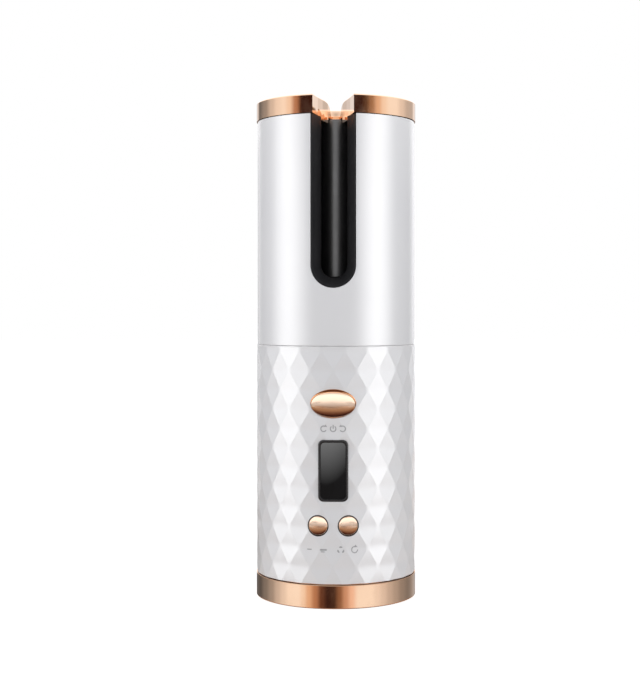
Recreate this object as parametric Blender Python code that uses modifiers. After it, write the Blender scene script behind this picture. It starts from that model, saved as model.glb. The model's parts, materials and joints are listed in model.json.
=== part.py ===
"""Cordless automatic hair curler: every shell, gear, cell and button as its own solid.

Units are metres and +Z is up. The origin is on the axis of the round body, in the plane
that the foot ring stands on. The hair slot, the buttons and the display face -Y.
"""

import math

import bmesh
import bpy
from mathutils import Matrix, Vector

MM = 0.001

# ---- driving sizes -----------------------------------------------------------
CLEAR = 0.3 * MM                    # gap between pieces that rest on each other
RUN_CLEAR = 0.15 * MM               # radial gap in running fits
SEGMENTS = 48                       # sides of the large round shells
CHAMBER_SEGMENTS = 44               # sides of the chamber's round pieces
SEAT_SEGMENTS = 36                  # sides of the barrel and its seat
SMALL_SEGMENTS = 24                 # sides of small round pieces

TOTAL_HEIGHT = 194.0 * MM
RING_RADIUS = 31.5 * MM             # plated base cap and top cap
UPPER_RADIUS = 31.1 * MM            # glossy upper shell
RIDGE_RADIUS = 31.3 * MM            # ridges of the faceted handle
SHELL_INNER_RADIUS = 28.6 * MM
INSERT_RADIUS = 28.1 * MM           # what plugs into the shells

FOOT_PROUD = 0.3 * MM
FOOT_GROOVE = (21.7 * MM, 28.8 * MM)
FOOT_THICK = 0.8 * MM
BASE_CAP_TOP = 9.1 * MM
HANDLE_BOTTOM = BASE_CAP_TOP + CLEAR
HANDLE_TOP = 99.4 * MM
UPPER_BOTTOM = 99.8 * MM
TOP_CAP_BOTTOM = 187.0 * MM
UPPER_TOP = TOP_CAP_BOTTOM - CLEAR

# faceted handle: diamonds round the body, in rows of half a diamond
FACETS_ROUND = 22
COLUMNS = 2 * FACETS_ROUND
COLUMN_ANGLE = 2.0 * math.pi / COLUMNS
ROW_PITCH = 7.43 * MM
FIRST_ROW = 98.0 * MM
ROWS = 12
BAND_BOTTOM = 98.6 * MM
FACET_DEPTH = 0.4 * MM

# hair slot, from the shell in to the winding chamber
SLOT_HALF_WIDTH = 8.62 * MM
SLOT_BOTTOM = 121.0 * MM
CHAMBER_SLOT_HALF_WIDTH = 5.1 * MM
CHAMBER_SLOT_BOTTOM = 124.8 * MM
THROAT_WALL = 1.4 * MM

# notch in the top cap, as half widths at distances in front of the axis
NOTCH_PLAN = ((34.0, 8.54), (30.5, 7.8), (22.0, 6.2), (15.0, 4.6), (8.5, 2.9), (4.0, 2.0))
NOTCH_END = -2.0 * MM

# winding chamber and rotor
SLEEVE_INNER = 20.6 * MM
SLEEVE_OUTER = 22.2 * MM
SLEEVE_BOTTOM = 118.0 * MM
ROTOR_INNER = 18.4 * MM
ROTOR_OUTER = 20.2 * MM
ROTOR_BOTTOM = 117.5 * MM
ROTOR_FLOOR = 119.5 * MM
ROTOR_TOP = 184.0 * MM
CATCH_ANGLE = math.radians(-58.0)

# gear train
GEAR_MODULE = 0.8 * MM
WHEEL_TEETH = 34
PINION_TEETH = 12
PRESSURE_ANGLE = math.radians(20.0)
WHEEL_RADIUS = GEAR_MODULE * WHEEL_TEETH / 2
PINION_RADIUS = GEAR_MODULE * PINION_TEETH / 2
MOTOR_Y = WHEEL_RADIUS + PINION_RADIUS
GEAR_BOTTOM = 110.5 * MM
GEAR_TOP = 117.2 * MM
PINION_TOP = 117.0 * MM
TOOTH_THINNING = 0.10 * MM

# barrel and its seat
DECK_BOTTOM = 104.6 * MM
DECK_TOP = 107.0 * MM
POST_RADIUS = 7.6 * MM
POST_BORE = 4.0 * MM
BUSH_OUTER = 8.75 * MM
HUB_BORE = BUSH_OUTER + RUN_CLEAR
COLLAR_RADIUS = 9.8 * MM
COLLAR_TOP = 124.7 * MM
BARREL_RADIUS = 7.5 * MM
BARREL_BORE = 6.2 * MM
BARREL_BOTTOM = 125.0 * MM
BARREL_TOP = 187.4 * MM

# gearmotor
MOTOR_RADIUS = 7.5 * MM
SHAFT_RADIUS = 1.5 * MM
GEARBOX_BOTTOM = 84.0 * MM
GEARBOX_TOP = DECK_BOTTOM - CLEAR
MOTOR_BOTTOM = 62.0 * MM
MOTOR_SCREW_X = 5.5 * MM            # the two deck screws, left and right of the shaft

# cells and circuit boards
CELL_RADIUS = 9.2 * MM
CELL_LENGTH = 65.0 * MM
CELL_X = 10.0 * MM
CELL_Y = -4.0 * MM
CELL_BOTTOM = 14.2 * MM
BOARD_FRONT = -20.4 * MM
BOARD_BACK = -18.8 * MM

# controls on the front
START_Z = 77.4 * MM
START_HALF = (8.65 * MM, 5.5 * MM)
START_FACE_HALF = (8.0 * MM, 4.85 * MM)
DISPLAY_Z = 52.2 * MM
DISPLAY_SIZE = (11.4 * MM, 23.3 * MM)
DISPLAY_RIM = 0.9 * MM
ROUND_Z = 31.5 * MM
ROUND_ANGLE = math.radians(10.6)
ROUND_RADIUS = 3.75 * MM
ROUND_HOLE = 4.05 * MM
PLUNGER_PROUD = 0.7 * MM            # how far a switch's plunger stands out of its body
BUTTON_STEM = 1.0 * MM              # length of a button's stem, up to its flange
STEM_RADIUS = 2.0 * MM

# base
PORT_HALF = (4.47 * MM, 1.63 * MM)
BASE_SCREW_CIRCLE = 17.5 * MM
BASE_SCREW_ANGLES = tuple(math.radians(a) for a in (30.0, 150.0, 270.0))
CHARGE_BOARD_BOTTOM = 8.3 * MM
CHARGE_BOARD_TOP = 9.5 * MM

# inside leads
LEAD_RADIUS = 0.6 * MM
LEAD_STEPS = 3                      # pieces of the line between two points of its route

FINISHES = {
    "white_gloss": ((0.87, 0.87, 0.89), 0.18, 0.0),
    "rose_gold": ((0.86, 0.52, 0.36), 0.16, 1.0),
    "black_gloss": ((0.02, 0.02, 0.022), 0.2, 0.0),
    "black_plastic": ((0.03, 0.03, 0.032), 0.5, 0.0),
    "frame_plastic": ((0.75, 0.75, 0.72), 0.5, 0.0),
    "acetal": ((0.85, 0.84, 0.8), 0.4, 0.0),
    "brass": ((0.78, 0.6, 0.3), 0.3, 1.0),
    "steel": ((0.62, 0.62, 0.64), 0.3, 1.0),
    "nickel": ((0.72, 0.7, 0.66), 0.3, 1.0),
    "aluminium": ((0.75, 0.76, 0.78), 0.35, 1.0),
    "board_green": ((0.03, 0.2, 0.1), 0.45, 0.0),
    "cell_wrap": ((0.1, 0.28, 0.55), 0.35, 0.0),
    "grey_rubber": ((0.12, 0.12, 0.12), 0.8, 0.0),
    "ceramic": ((0.9, 0.88, 0.82), 0.5, 0.0),
    "display_glass": ((0.015, 0.015, 0.017), 0.06, 0.0),
    "wire_red": ((0.5, 0.04, 0.03), 0.5, 0.0),
}


# ---- scene and materials -----------------------------------------------------
def clear_scene():
    """Take away whatever the scene holds."""
    for item in list(bpy.data.objects):
        bpy.data.objects.remove(item, do_unlink=True)


def new_collection(name):
    """A collection linked to the scene."""
    made = bpy.data.collections.new(name)
    bpy.context.scene.collection.children.link(made)
    return made


def make_finish(name):
    """A Principled material from the table of finishes."""
    colour, roughness, metallic = FINISHES[name]
    made = bpy.data.materials.new(name)
    made.use_nodes = True
    shader = made.node_tree.nodes["Principled BSDF"]
    shader.inputs["Base Color"].default_value = (*colour, 1.0)
    shader.inputs["Roughness"].default_value = roughness
    shader.inputs["Metallic"].default_value = metallic
    return made


clear_scene()
PARTS = new_collection("automatic_hair_curler")
CUTTERS = new_collection("cutters")
MATERIALS = {name: make_finish(name) for name in FINISHES}


# ---- making shapes -----------------------------------------------------------
def add_object(name, mesh, finish, location=(0.0, 0.0, 0.0)):
    """Put a mesh in the parts collection with its finish."""
    made = bpy.data.objects.new(name, mesh)
    made.location = location
    PARTS.objects.link(made)
    mesh.materials.clear()
    mesh.materials.append(MATERIALS[finish])
    return made


def as_cutter(item):
    """Turn an object into a hidden cutter."""
    PARTS.objects.unlink(item)
    CUTTERS.objects.link(item)
    item.hide_render = True
    item.display_type = "WIRE"
    return item


def mesh_from(build, name):
    """A mesh filled by a function that gets an empty bmesh."""
    work = bmesh.new()
    build(work)
    mesh = bpy.data.meshes.new(name)
    work.to_mesh(mesh)
    work.free()
    return mesh


def smooth(item, angle=35.0):
    """Shade a round piece smooth, with its real edges sharp."""
    item.data.shade_smooth()
    item.data.set_sharp_from_angle(angle=math.radians(angle))
    return item


def box(name, low, high, finish, bevel=0.0):
    """A block between two corners, with an optional rounded edge."""
    low = Vector(low)
    high = Vector(high)
    size = high - low

    def build(work):
        bmesh.ops.create_cube(work, size=1.0, matrix=Matrix.Diagonal((*size, 1.0)))

    made = add_object(name, mesh_from(build, name), finish, (low + high) / 2)
    if bevel:
        rounding = made.modifiers.new("edges", "BEVEL")
        rounding.width = bevel
        rounding.segments = 2
    return made


def rod(name, radius, bottom, top, finish, centre=(0.0, 0.0), segments=SMALL_SEGMENTS):
    """A round bar along Z."""

    def build(work):
        bmesh.ops.create_cone(work, cap_ends=True, segments=segments, radius1=radius,
                              radius2=radius, depth=top - bottom)

    place = (centre[0], centre[1], (top + bottom) / 2)
    return smooth(add_object(name, mesh_from(build, name), finish, place))


def turned(name, profile, finish, centre=(0.0, 0.0), steps=SEGMENTS, ring=True):
    """A turned piece. The profile runs down its outer side, as (radius, height) pairs."""
    count = len(profile)
    edges = [(i, i + 1) for i in range(count - 1)]
    if ring:
        edges.append((count - 1, 0))
    mesh = bpy.data.meshes.new(name)
    mesh.from_pydata([(radius, 0.0, height) for radius, height in profile], edges, [])
    made = add_object(name, mesh, finish, (centre[0], centre[1], 0.0))
    screw = made.modifiers.new("turn", "SCREW")
    screw.axis = "Z"
    screw.steps = steps
    screw.render_steps = steps
    screw.use_merge_vertices = True
    screw.merge_threshold = 0.00001
    screw.use_smooth_shade = False
    return made


def tube(name, inner, outer, bottom, top, finish, steps=SEGMENTS, centre=(0.0, 0.0)):
    """A plain ring or tube along Z."""
    profile = ((outer, top), (outer, bottom), (inner, bottom), (inner, top))
    return turned(name, profile, finish, centre=centre, steps=steps)


def extruded(name, outlines, depth, finish, turn=None):
    """Flat outlines, the later ones holes, extruded to a depth and then turned and placed."""
    curve = bpy.data.curves.new(name, "CURVE")
    curve.dimensions = "2D"
    curve.fill_mode = "BOTH"
    curve.extrude = depth / 2
    for outline in outlines:
        spline = curve.splines.new("POLY")
        spline.points.add(len(outline) - 1)
        for point, (across, along) in zip(spline.points, outline):
            point.co = (across, along, 0.0, 1.0)
        spline.use_cyclic_u = True
    source = bpy.data.objects.new(name + "_curve", curve)
    PARTS.objects.link(source)
    bpy.context.view_layer.update()
    mesh = bpy.data.meshes.new_from_object(source.evaluated_get(bpy.context.evaluated_depsgraph_get()))
    work = bmesh.new()
    work.from_mesh(mesh)
    bmesh.ops.remove_doubles(work, verts=work.verts, dist=0.000001)
    bmesh.ops.recalc_face_normals(work, faces=work.faces)
    work.to_mesh(mesh)
    work.free()
    bpy.data.objects.remove(source, do_unlink=True)
    bpy.data.curves.remove(curve)
    mesh.name = name
    made = add_object(name, mesh, finish)
    made.matrix_world = turn if turn is not None else Matrix.Identity(4)
    return made


def facing_front(x, y, z, swing=0.0):
    """A frame whose flat outline faces -Y at a place, swung about Z."""
    stand = Matrix.Rotation(math.radians(90.0), 4, "X")
    return Matrix.Translation((x, y, z)) @ Matrix.Rotation(swing, 4, "Z") @ stand


def combine(target, other, operation):
    """Cut, join or keep the common part of two solids."""
    change = target.modifiers.new(other.name, "BOOLEAN")
    change.operation = operation
    change.solver = "EXACT"
    change.object = other
    as_cutter(other)
    return target


def cut(target, cutter):
    """Take the cutter out of the target."""
    return combine(target, cutter, "DIFFERENCE")


def join(target, other):
    """Make the other solid part of the target."""
    return combine(target, other, "UNION")


def circle_points(radius, count, start=0.0):
    """Points round a circle."""
    turns = [start + 2.0 * math.pi * i / count for i in range(count)]
    return [(radius * math.cos(a), radius * math.sin(a)) for a in turns]


def oval_points(half_x, half_y, count=32):
    """Points round an ellipse."""
    turns = [2.0 * math.pi * i / count for i in range(count)]
    return [(half_x * math.cos(a), half_y * math.sin(a)) for a in turns]


def rounded_points(half_x, half_y, corner, steps=4):
    """Points round a rectangle with round corners."""
    points = []
    for quarter, (sx, sy) in enumerate(((1, 1), (-1, 1), (-1, -1), (1, -1))):
        for i in range(steps + 1):
            a = math.radians(90.0) * (quarter + i / steps)
            points.append((sx * (half_x - corner) + corner * math.cos(a),
                           sy * (half_y - corner) + corner * math.sin(a)))
    return points


def slot_points(half_width, bottom, top, steps=16):
    """A U outline: round at the bottom and open-ended at the top, as (across, height)."""
    centre = bottom + half_width
    arc = [math.pi + math.pi * i / steps for i in range(steps + 1)]
    points = [(half_width * math.cos(a), centre + half_width * math.sin(a)) for a in arc]
    return points + [(half_width, top), (-half_width, top)]


def slot_cutter(name, half_width, bottom, near, far):
    """A prism with the U outline, between two distances in front of the axis."""
    outline = slot_points(half_width, bottom, TOTAL_HEIGHT + 5 * MM)
    return extruded(name, [outline], far - near, "black_plastic",
                    facing_front(0.0, -(near + far) / 2, 0.0))


# ---- shells ------------------------------------------------------------------
def on_ring(radius, column, height):
    """A point of the faceted handle's grid; column 0 faces the front."""
    a = math.radians(-90.0) + column * COLUMN_ANGLE
    return (radius * math.cos(a), radius * math.sin(a), height)


def facet_radius(row, column, share=1.0):
    """Ridge corners stay on the ridge radius and diamond centres lie deeper."""
    centre = (row + column) % 2 == 0
    depth = FACET_DEPTH if centre else 0.0
    next_depth = 0.0 if centre else FACET_DEPTH
    return RIDGE_RADIUS - depth * share - next_depth * (1.0 - share)


def build_handle_shell():
    """The handle: a tube whose outside is a lattice of dished diamonds."""
    last_share = (FIRST_ROW - (ROWS - 1) * ROW_PITCH - HANDLE_BOTTOM) / ROW_PITCH
    rings = [[on_ring(RIDGE_RADIUS, c, HANDLE_TOP) for c in range(COLUMNS)],
             [on_ring(RIDGE_RADIUS, c, BAND_BOTTOM) for c in range(COLUMNS)]]
    for row in range(ROWS):
        height = FIRST_ROW - row * ROW_PITCH
        rings.append([on_ring(facet_radius(row, c), c, height) for c in range(COLUMNS)])
    rings.append([on_ring(facet_radius(ROWS, c, last_share), c, HANDLE_BOTTOM)
                  for c in range(COLUMNS)])
    for height in (HANDLE_BOTTOM, HANDLE_TOP):
        rings.append([on_ring(SHELL_INNER_RADIUS, c, height) for c in range(COLUMNS)])

    def build(work):
        grid = [[work.verts.new(point) for point in ring] for ring in rings]
        for upper in range(len(grid)):
            lower = (upper + 1) % len(grid)
            row = upper - 2
            for c in range(COLUMNS):
                d = (c + 1) % COLUMNS
                a, b = grid[upper][c], grid[upper][d]
                p, q = grid[lower][c], grid[lower][d]
                if not 0 <= row < ROWS:
                    work.faces.new((a, p, q, b))
                elif (row + c) % 2 == 0:
                    work.faces.new((a, p, b))
                    work.faces.new((b, p, q))
                else:
                    work.faces.new((a, p, q))
                    work.faces.new((a, q, b))

    shell = add_object("handle_shell", mesh_from(build, "handle_shell"), "white_gloss")
    reach = 8 * MM
    middle = -(SHELL_INNER_RADIUS + 1.5 * MM)
    start_hole = oval_points(START_HALF[0] + CLEAR, START_HALF[1] + CLEAR)
    cut(shell, extruded("start_hole", [start_hole], reach, "black_plastic",
                        facing_front(0.0, middle, START_Z)))
    display_hole = rounded_points(DISPLAY_SIZE[0] / 2 + CLEAR, DISPLAY_SIZE[1] / 2 + CLEAR, 2.2 * MM)
    cut(shell, extruded("display_hole", [display_hole], reach, "black_plastic",
                        facing_front(0.0, middle, DISPLAY_Z)))
    for side in (-1, 1):
        swing = side * ROUND_ANGLE
        place = facing_front(-middle * math.sin(swing), middle * math.cos(swing), ROUND_Z, swing)
        cut(shell, extruded("round_hole_%d" % (side + 1), [circle_points(ROUND_HOLE, 24)],
                            reach, "black_plastic", place))
    return shell


def build_upper_shell():
    """The smooth upper shell, open at the front for the hair slot."""
    edge = 0.4 * MM
    profile = ((UPPER_RADIUS - edge, UPPER_TOP), (UPPER_RADIUS, UPPER_TOP - edge),
               (UPPER_RADIUS, UPPER_BOTTOM + edge), (UPPER_RADIUS - edge, UPPER_BOTTOM),
               (SHELL_INNER_RADIUS, UPPER_BOTTOM), (SHELL_INNER_RADIUS, UPPER_TOP))
    shell = turned("upper_shell", profile, "white_gloss")
    return cut(shell, slot_cutter("upper_slot", SLOT_HALF_WIDTH, SLOT_BOTTOM, 22 * MM, 40 * MM))


def notch_outline():
    """Plan of the notch: two curved walls that close in a half circle."""
    right = [(half * MM, -distance * MM) for distance, half in NOTCH_PLAN]
    end = NOTCH_PLAN[-1][1] * MM
    centre_y = NOTCH_END - end
    arc = [(end * math.cos(a), centre_y + end * math.sin(a))
           for a in (math.pi * i / 8 for i in range(1, 8))]
    left = [(-x, y) for x, y in reversed(right)]
    return right + arc + left


def build_top_cap():
    """The plated cap, dished in the middle, with the notch that guides the hair."""
    edge = 0.5 * MM
    dish_floor = 189.3 * MM
    recess_top = 188.1 * MM
    recess_radius = BARREL_RADIUS + 0.5 * MM
    profile = ((0.0, dish_floor), (4.2 * MM, dish_floor), (4.6 * MM, 191.7 * MM),
               (6.5 * MM, 192.6 * MM), (9.5 * MM, 193.6 * MM), (13.0 * MM, TOTAL_HEIGHT),
               (RING_RADIUS - edge, TOTAL_HEIGHT), (RING_RADIUS, TOTAL_HEIGHT - edge),
               (RING_RADIUS, TOP_CAP_BOTTOM), (recess_radius, TOP_CAP_BOTTOM),
               (recess_radius, recess_top), (0.0, recess_top))
    cap = turned("top_cap", profile, "rose_gold", ring=False)
    middle = (TOP_CAP_BOTTOM + TOTAL_HEIGHT) / 2
    notch = extruded("cap_notch", [notch_outline()], 20 * MM, "rose_gold",
                     Matrix.Translation((0.0, 0.0, middle)))
    return cut(cap, notch)


def build_base_cap():
    """The plated cup that closes the handle, with a spigot inside the shell."""
    floor_top = 2.6 * MM
    spigot_top = 11.0 * MM
    spigot_inner = 26.0 * MM
    groove_inner, groove_outer = FOOT_GROOVE
    groove_top = FOOT_PROUD + FOOT_THICK
    edge = 0.3 * MM
    foot_edge = 0.6 * MM
    profile = ((0.0, floor_top), (spigot_inner, floor_top), (spigot_inner, spigot_top),
               (INSERT_RADIUS, spigot_top), (INSERT_RADIUS, BASE_CAP_TOP),
               (RING_RADIUS - edge, BASE_CAP_TOP), (RING_RADIUS, BASE_CAP_TOP - edge),
               (RING_RADIUS, FOOT_PROUD + foot_edge), (RING_RADIUS - foot_edge, FOOT_PROUD),
               (groove_outer, FOOT_PROUD), (groove_outer, groove_top),
               (groove_inner, groove_top), (groove_inner, FOOT_PROUD), (0.0, FOOT_PROUD))
    cap = turned("base_cap", profile, "rose_gold", ring=False)
    port = rounded_points(PORT_HALF[0] + CLEAR, PORT_HALF[1] + CLEAR, 1.9 * MM)
    cut(cap, extruded("port_hole", [port], 10 * MM, "rose_gold"))
    for index, (x, y) in enumerate(base_screw_places()):
        cut(cap, rod("base_hole_%d" % index, 1.4 * MM, -2 * MM, 6 * MM, "rose_gold", (x, y), 16))
        cut(cap, rod("base_sink_%d" % index, 2.9 * MM, -2 * MM, 1.7 * MM, "rose_gold", (x, y), 24))
    return cap


def build_foot_ring():
    """The rubber ring that the curler stands on."""
    inner, outer = FOOT_GROOVE
    return tube("foot_ring", inner + CLEAR, outer - CLEAR, 0.0, FOOT_THICK, "grey_rubber")


def base_screw_places():
    """Centres of the three screws in the base."""
    return [(BASE_SCREW_CIRCLE * math.cos(a), BASE_SCREW_CIRCLE * math.sin(a))
            for a in BASE_SCREW_ANGLES]


def screw(name, centre, head_low, head_high, head_radius, shank_radius, tip):
    """A pan-head screw along Z with a cross-slot left out of its plain solid."""
    up = tip > head_high
    if up:
        profile = ((0.0, tip), (shank_radius, tip), (shank_radius, head_high),
                   (head_radius, head_high), (head_radius, head_low), (0.0, head_low))
    else:
        profile = ((0.0, head_high), (head_radius, head_high), (head_radius, head_low),
                   (shank_radius, head_low), (shank_radius, tip), (0.0, tip))
    return turned(name, profile, "steel", centre=centre, steps=16, ring=False)


def build_base_screws():
    """Three screws that hold the base cap to the inner frame."""
    for index, place in enumerate(base_screw_places(), 1):
        screw("base_screw_%d" % index, place, 0.5 * MM, 1.4 * MM, 2.5 * MM, 1.1 * MM, 10.2 * MM)


# ---- hair slot and winding chamber -------------------------------------------
def throat_end(radius, half_width, bottom):
    """One end of the throat: its inner and outer U, laid on a cylinder round the axis."""

    def on_cylinder(points):
        open_line = [points[-1], *points[:-1]]
        return [(x, -math.sqrt(radius * radius - x * x), z) for x, z in open_line]

    inside = slot_points(half_width, bottom, UPPER_TOP, 14)
    outside = slot_points(half_width + THROAT_WALL, bottom - THROAT_WALL, UPPER_TOP, 14)
    return on_cylinder(inside), on_cylinder(outside)


def build_slot_throat():
    """The black throat that narrows from the shell's slot to the chamber's."""
    outer_radius = SHELL_INNER_RADIUS - CLEAR
    inner_radius = SLEEVE_OUTER + CLEAR
    front_in, front_out = throat_end(outer_radius, SLOT_HALF_WIDTH, SLOT_BOTTOM)
    back_in, back_out = throat_end(inner_radius, CHAMBER_SLOT_HALF_WIDTH, CHAMBER_SLOT_BOTTOM)

    def build(work):
        loops = [[work.verts.new(p) for p in line] for line in (front_in, front_out, back_out, back_in)]
        count = len(front_in)
        for i in range(count - 1):
            for here, there in ((0, 1), (1, 2), (2, 3), (3, 0)):
                a, b = loops[here], loops[there]
                work.faces.new((a[i], b[i], b[i + 1], a[i + 1]))
        for i in (0, count - 1):
            work.faces.new([loop[i] for loop in loops])
        bmesh.ops.recalc_face_normals(work, faces=work.faces)

    return add_object("slot_throat", mesh_from(build, "slot_throat"), "black_plastic")


def build_chamber_sleeve():
    """The fixed wall round the winding chamber, with a foot flange on the deck's posts."""
    flange_top = SLEEVE_BOTTOM + 1.8 * MM
    profile = ((SLEEVE_OUTER, UPPER_TOP - CLEAR), (SLEEVE_OUTER, flange_top),
               (INSERT_RADIUS, flange_top), (INSERT_RADIUS, SLEEVE_BOTTOM),
               (SLEEVE_INNER, SLEEVE_BOTTOM), (SLEEVE_INNER, UPPER_TOP - CLEAR))
    sleeve = turned("chamber_sleeve", profile, "black_plastic", steps=CHAMBER_SEGMENTS)
    return cut(sleeve, slot_cutter("sleeve_slot", CHAMBER_SLOT_HALF_WIDTH, CHAMBER_SLOT_BOTTOM,
                                   12 * MM, 24 * MM))


def build_winding_rotor():
    """The turning cup that carries the hair round the barrel, slotted from the top."""
    profile = ((ROTOR_OUTER, ROTOR_TOP), (ROTOR_OUTER, ROTOR_BOTTOM), (HUB_BORE, ROTOR_BOTTOM),
               (HUB_BORE, ROTOR_FLOOR), (ROTOR_INNER, ROTOR_FLOOR), (ROTOR_INNER, ROTOR_TOP))
    rotor = turned("winding_rotor", profile, "black_plastic", steps=CHAMBER_SEGMENTS)
    return cut(rotor, slot_cutter("rotor_slot", CHAMBER_SLOT_HALF_WIDTH, CHAMBER_SLOT_BOTTOM,
                                  10 * MM, 24 * MM))


def build_hair_catch():
    """The hook on the rotor's wall that takes the strand along."""
    outer = 17.9 * MM
    plan = ((outer, -2.6), (outer, 2.6), (16.9 * MM, 2.6), (15.6 * MM, 1.2), (13.6 * MM, 0.9),
            (12.0 * MM, 1.9), (11.3 * MM, 1.5), (11.9 * MM, 0.1), (13.6 * MM, -0.9),
            (15.8 * MM, -1.1), (16.9 * MM, -2.6))
    outline = [(along, across * MM) for along, across in plan]
    place = Matrix.Translation((0.0, 0.0, 156.0 * MM)) @ Matrix.Rotation(CATCH_ANGLE, 4, "Z")
    return extruded("hair_catch", [outline], 24 * MM, "black_plastic", place)


# ---- gears and motor ---------------------------------------------------------
def involute(angle):
    """The involute function of an angle."""
    return math.tan(angle) - angle


def gear_outline(teeth, addendum, dedendum, flank_steps):
    """Outline of a spur gear with a tooth centred on +X."""
    pitch = GEAR_MODULE * teeth / 2
    base = pitch * math.cos(PRESSURE_ANGLE)
    tip = pitch + addendum
    root = pitch - dedendum
    start = max(base, root + 0.12 * MM)
    half_tooth = math.pi / (2 * teeth) - TOOTH_THINNING / (2 * pitch)

    def half_angle(radius):
        rolled = 0.0 if radius <= base else involute(math.acos(base / radius))
        return half_tooth + involute(PRESSURE_ANGLE) - rolled

    flank = [start + (tip - start) * i / flank_steps for i in range(flank_steps + 1)]
    side = [(root, half_angle(start))] + [(radius, half_angle(radius)) for radius in flank]
    tooth = [(radius, -angle) for radius, angle in side]
    tooth += [(radius, angle) for radius, angle in reversed(side)]
    points = []
    for k in range(teeth):
        turn = 2.0 * math.pi * k / teeth
        points += [(radius * math.cos(turn + angle), radius * math.sin(turn + angle))
                   for radius, angle in tooth]
    return points


def gear(name, teeth, addendum, dedendum, flank_steps, bore, bottom, top, centre, finish):
    """A spur gear along Z with a round bore."""
    outline = gear_outline(teeth, addendum, dedendum, flank_steps)
    hole = circle_points(bore, SEAT_SEGMENTS)
    place = Matrix.Translation((centre[0], centre[1], (bottom + top) / 2))
    return extruded(name, [outline, hole], top - bottom, finish, place)


def build_gears():
    """The rotor's wheel and the motor's pinion, in mesh behind the axis."""
    wheel = gear("rotor_gear", WHEEL_TEETH, 0.64 * MM, 1.1 * MM, 1, HUB_BORE, GEAR_BOTTOM,
                 GEAR_TOP, (0.0, 0.0), "acetal")
    magnet_y = -10.7 * MM
    cut(wheel, rod("magnet_pocket", 1.4 * MM, 108 * MM, GEAR_BOTTOM + 2.4 * MM, "acetal",
                   (0.0, magnet_y), 16))
    gear("drive_pinion", PINION_TEETH, 0.96 * MM, 0.9 * MM, 2, SHAFT_RADIUS + CLEAR, GEAR_BOTTOM,
         PINION_TOP, (0.0, MOTOR_Y), "brass")
    rod("output_shaft", SHAFT_RADIUS, 98.3 * MM, 116.6 * MM, "steel", (0.0, MOTOR_Y), 20)
    rod("home_magnet", 1.1 * MM, GEAR_BOTTOM + 0.2 * MM, GEAR_BOTTOM + 2.1 * MM, "nickel",
        (0.0, magnet_y), 16)
    box("hall_sensor", (-2.0 * MM, magnet_y - 2.0 * MM, DECK_TOP + CLEAR),
        (2.0 * MM, magnet_y + 0.9 * MM, 108.9 * MM), "black_plastic")


def build_motor():
    """The gearmotor that hangs under the deck."""
    place = (0.0, MOTOR_Y)
    case = rod("gearbox_case", MOTOR_RADIUS, GEARBOX_BOTTOM, GEARBOX_TOP, "steel", place)
    cut(case, rod("gearbox_bore", SHAFT_RADIUS + CLEAR, 98.0 * MM, 110 * MM, "steel", place, 20))
    for side in (-1, 1):
        spot = (side * MOTOR_SCREW_X, MOTOR_Y)
        cut(case, rod("case_thread_%d" % (side + 1), 1.25 * MM, 99.5 * MM, 110 * MM, "steel", spot, 16))
        screw("deck_screw_%s" % ("left" if side < 0 else "right"), spot, DECK_TOP + CLEAR,
              DECK_TOP + 1.3 * MM, 1.9 * MM, 0.95 * MM, 100 * MM)
        edge = side * 3.5 * MM
        box("motor_terminal_%s" % ("left" if side < 0 else "right"),
            (edge - 1.0 * MM, MOTOR_Y - 0.3 * MM, 55.5 * MM),
            (edge + 1.0 * MM, MOTOR_Y + 0.3 * MM, 58.4 * MM), "brass")
    rod("motor_can", MOTOR_RADIUS, MOTOR_BOTTOM, GEARBOX_BOTTOM - CLEAR, "nickel", place)
    rod("motor_end_cap", 6.8 * MM, 58.7 * MM, MOTOR_BOTTOM - CLEAR, "black_plastic", place)


def build_gear_deck():
    """The bulkhead that joins both shells and carries motor, barrel and chamber."""
    skirt_bottom = 93.0 * MM
    skirt_inner = 26.2 * MM
    profile = ((POST_BORE, DECK_TOP), (INSERT_RADIUS, DECK_TOP), (INSERT_RADIUS, skirt_bottom),
               (skirt_inner, skirt_bottom), (skirt_inner, DECK_BOTTOM), (POST_BORE, DECK_BOTTOM))
    deck = turned("gear_deck", profile, "frame_plastic", steps=CHAMBER_SEGMENTS)
    for index, degrees in enumerate((25.0, 155.0, 215.0, 325.0)):
        a = math.radians(degrees)
        spot = (25.2 * MM * math.cos(a), 25.2 * MM * math.sin(a))
        join(deck, rod("deck_post_%d" % index, 2.2 * MM, DECK_TOP - 1 * MM,
                       SLEEVE_BOTTOM - CLEAR, "frame_plastic", spot, 16))
    cut(deck, rod("shaft_hole", 2.6 * MM, 100 * MM, 112 * MM, "frame_plastic", (0.0, MOTOR_Y), 24))
    for side in (-1, 1):
        cut(deck, rod("deck_hole_%d" % (side + 1), 1.25 * MM, 100 * MM, 112 * MM,
                      "frame_plastic", (side * MOTOR_SCREW_X, MOTOR_Y), 16))
    return deck


# ---- heated barrel -----------------------------------------------------------
def build_barrel_seat():
    """The post, collar and bush that hold the barrel and guide the rotor."""
    flange_top = 109.4 * MM
    post_top = COLLAR_TOP - 4.9 * MM
    flange_radius = 9.3 * MM
    profile = ((POST_RADIUS, post_top), (POST_RADIUS, flange_top), (flange_radius, flange_top),
               (flange_radius, DECK_TOP + CLEAR), (POST_BORE, DECK_TOP + CLEAR),
               (POST_BORE, post_top))
    turned("barrel_post", profile, "black_plastic", steps=SEAT_SEGMENTS)
    tube("barrel_collar", POST_BORE, COLLAR_RADIUS, post_top + CLEAR, COLLAR_TOP,
         "black_plastic", steps=SEAT_SEGMENTS)
    tube("rotor_bush", POST_RADIUS + RUN_CLEAR, BUSH_OUTER, GEAR_BOTTOM + CLEAR,
         ROTOR_FLOOR - CLEAR, "acetal", steps=SEAT_SEGMENTS)


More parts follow.
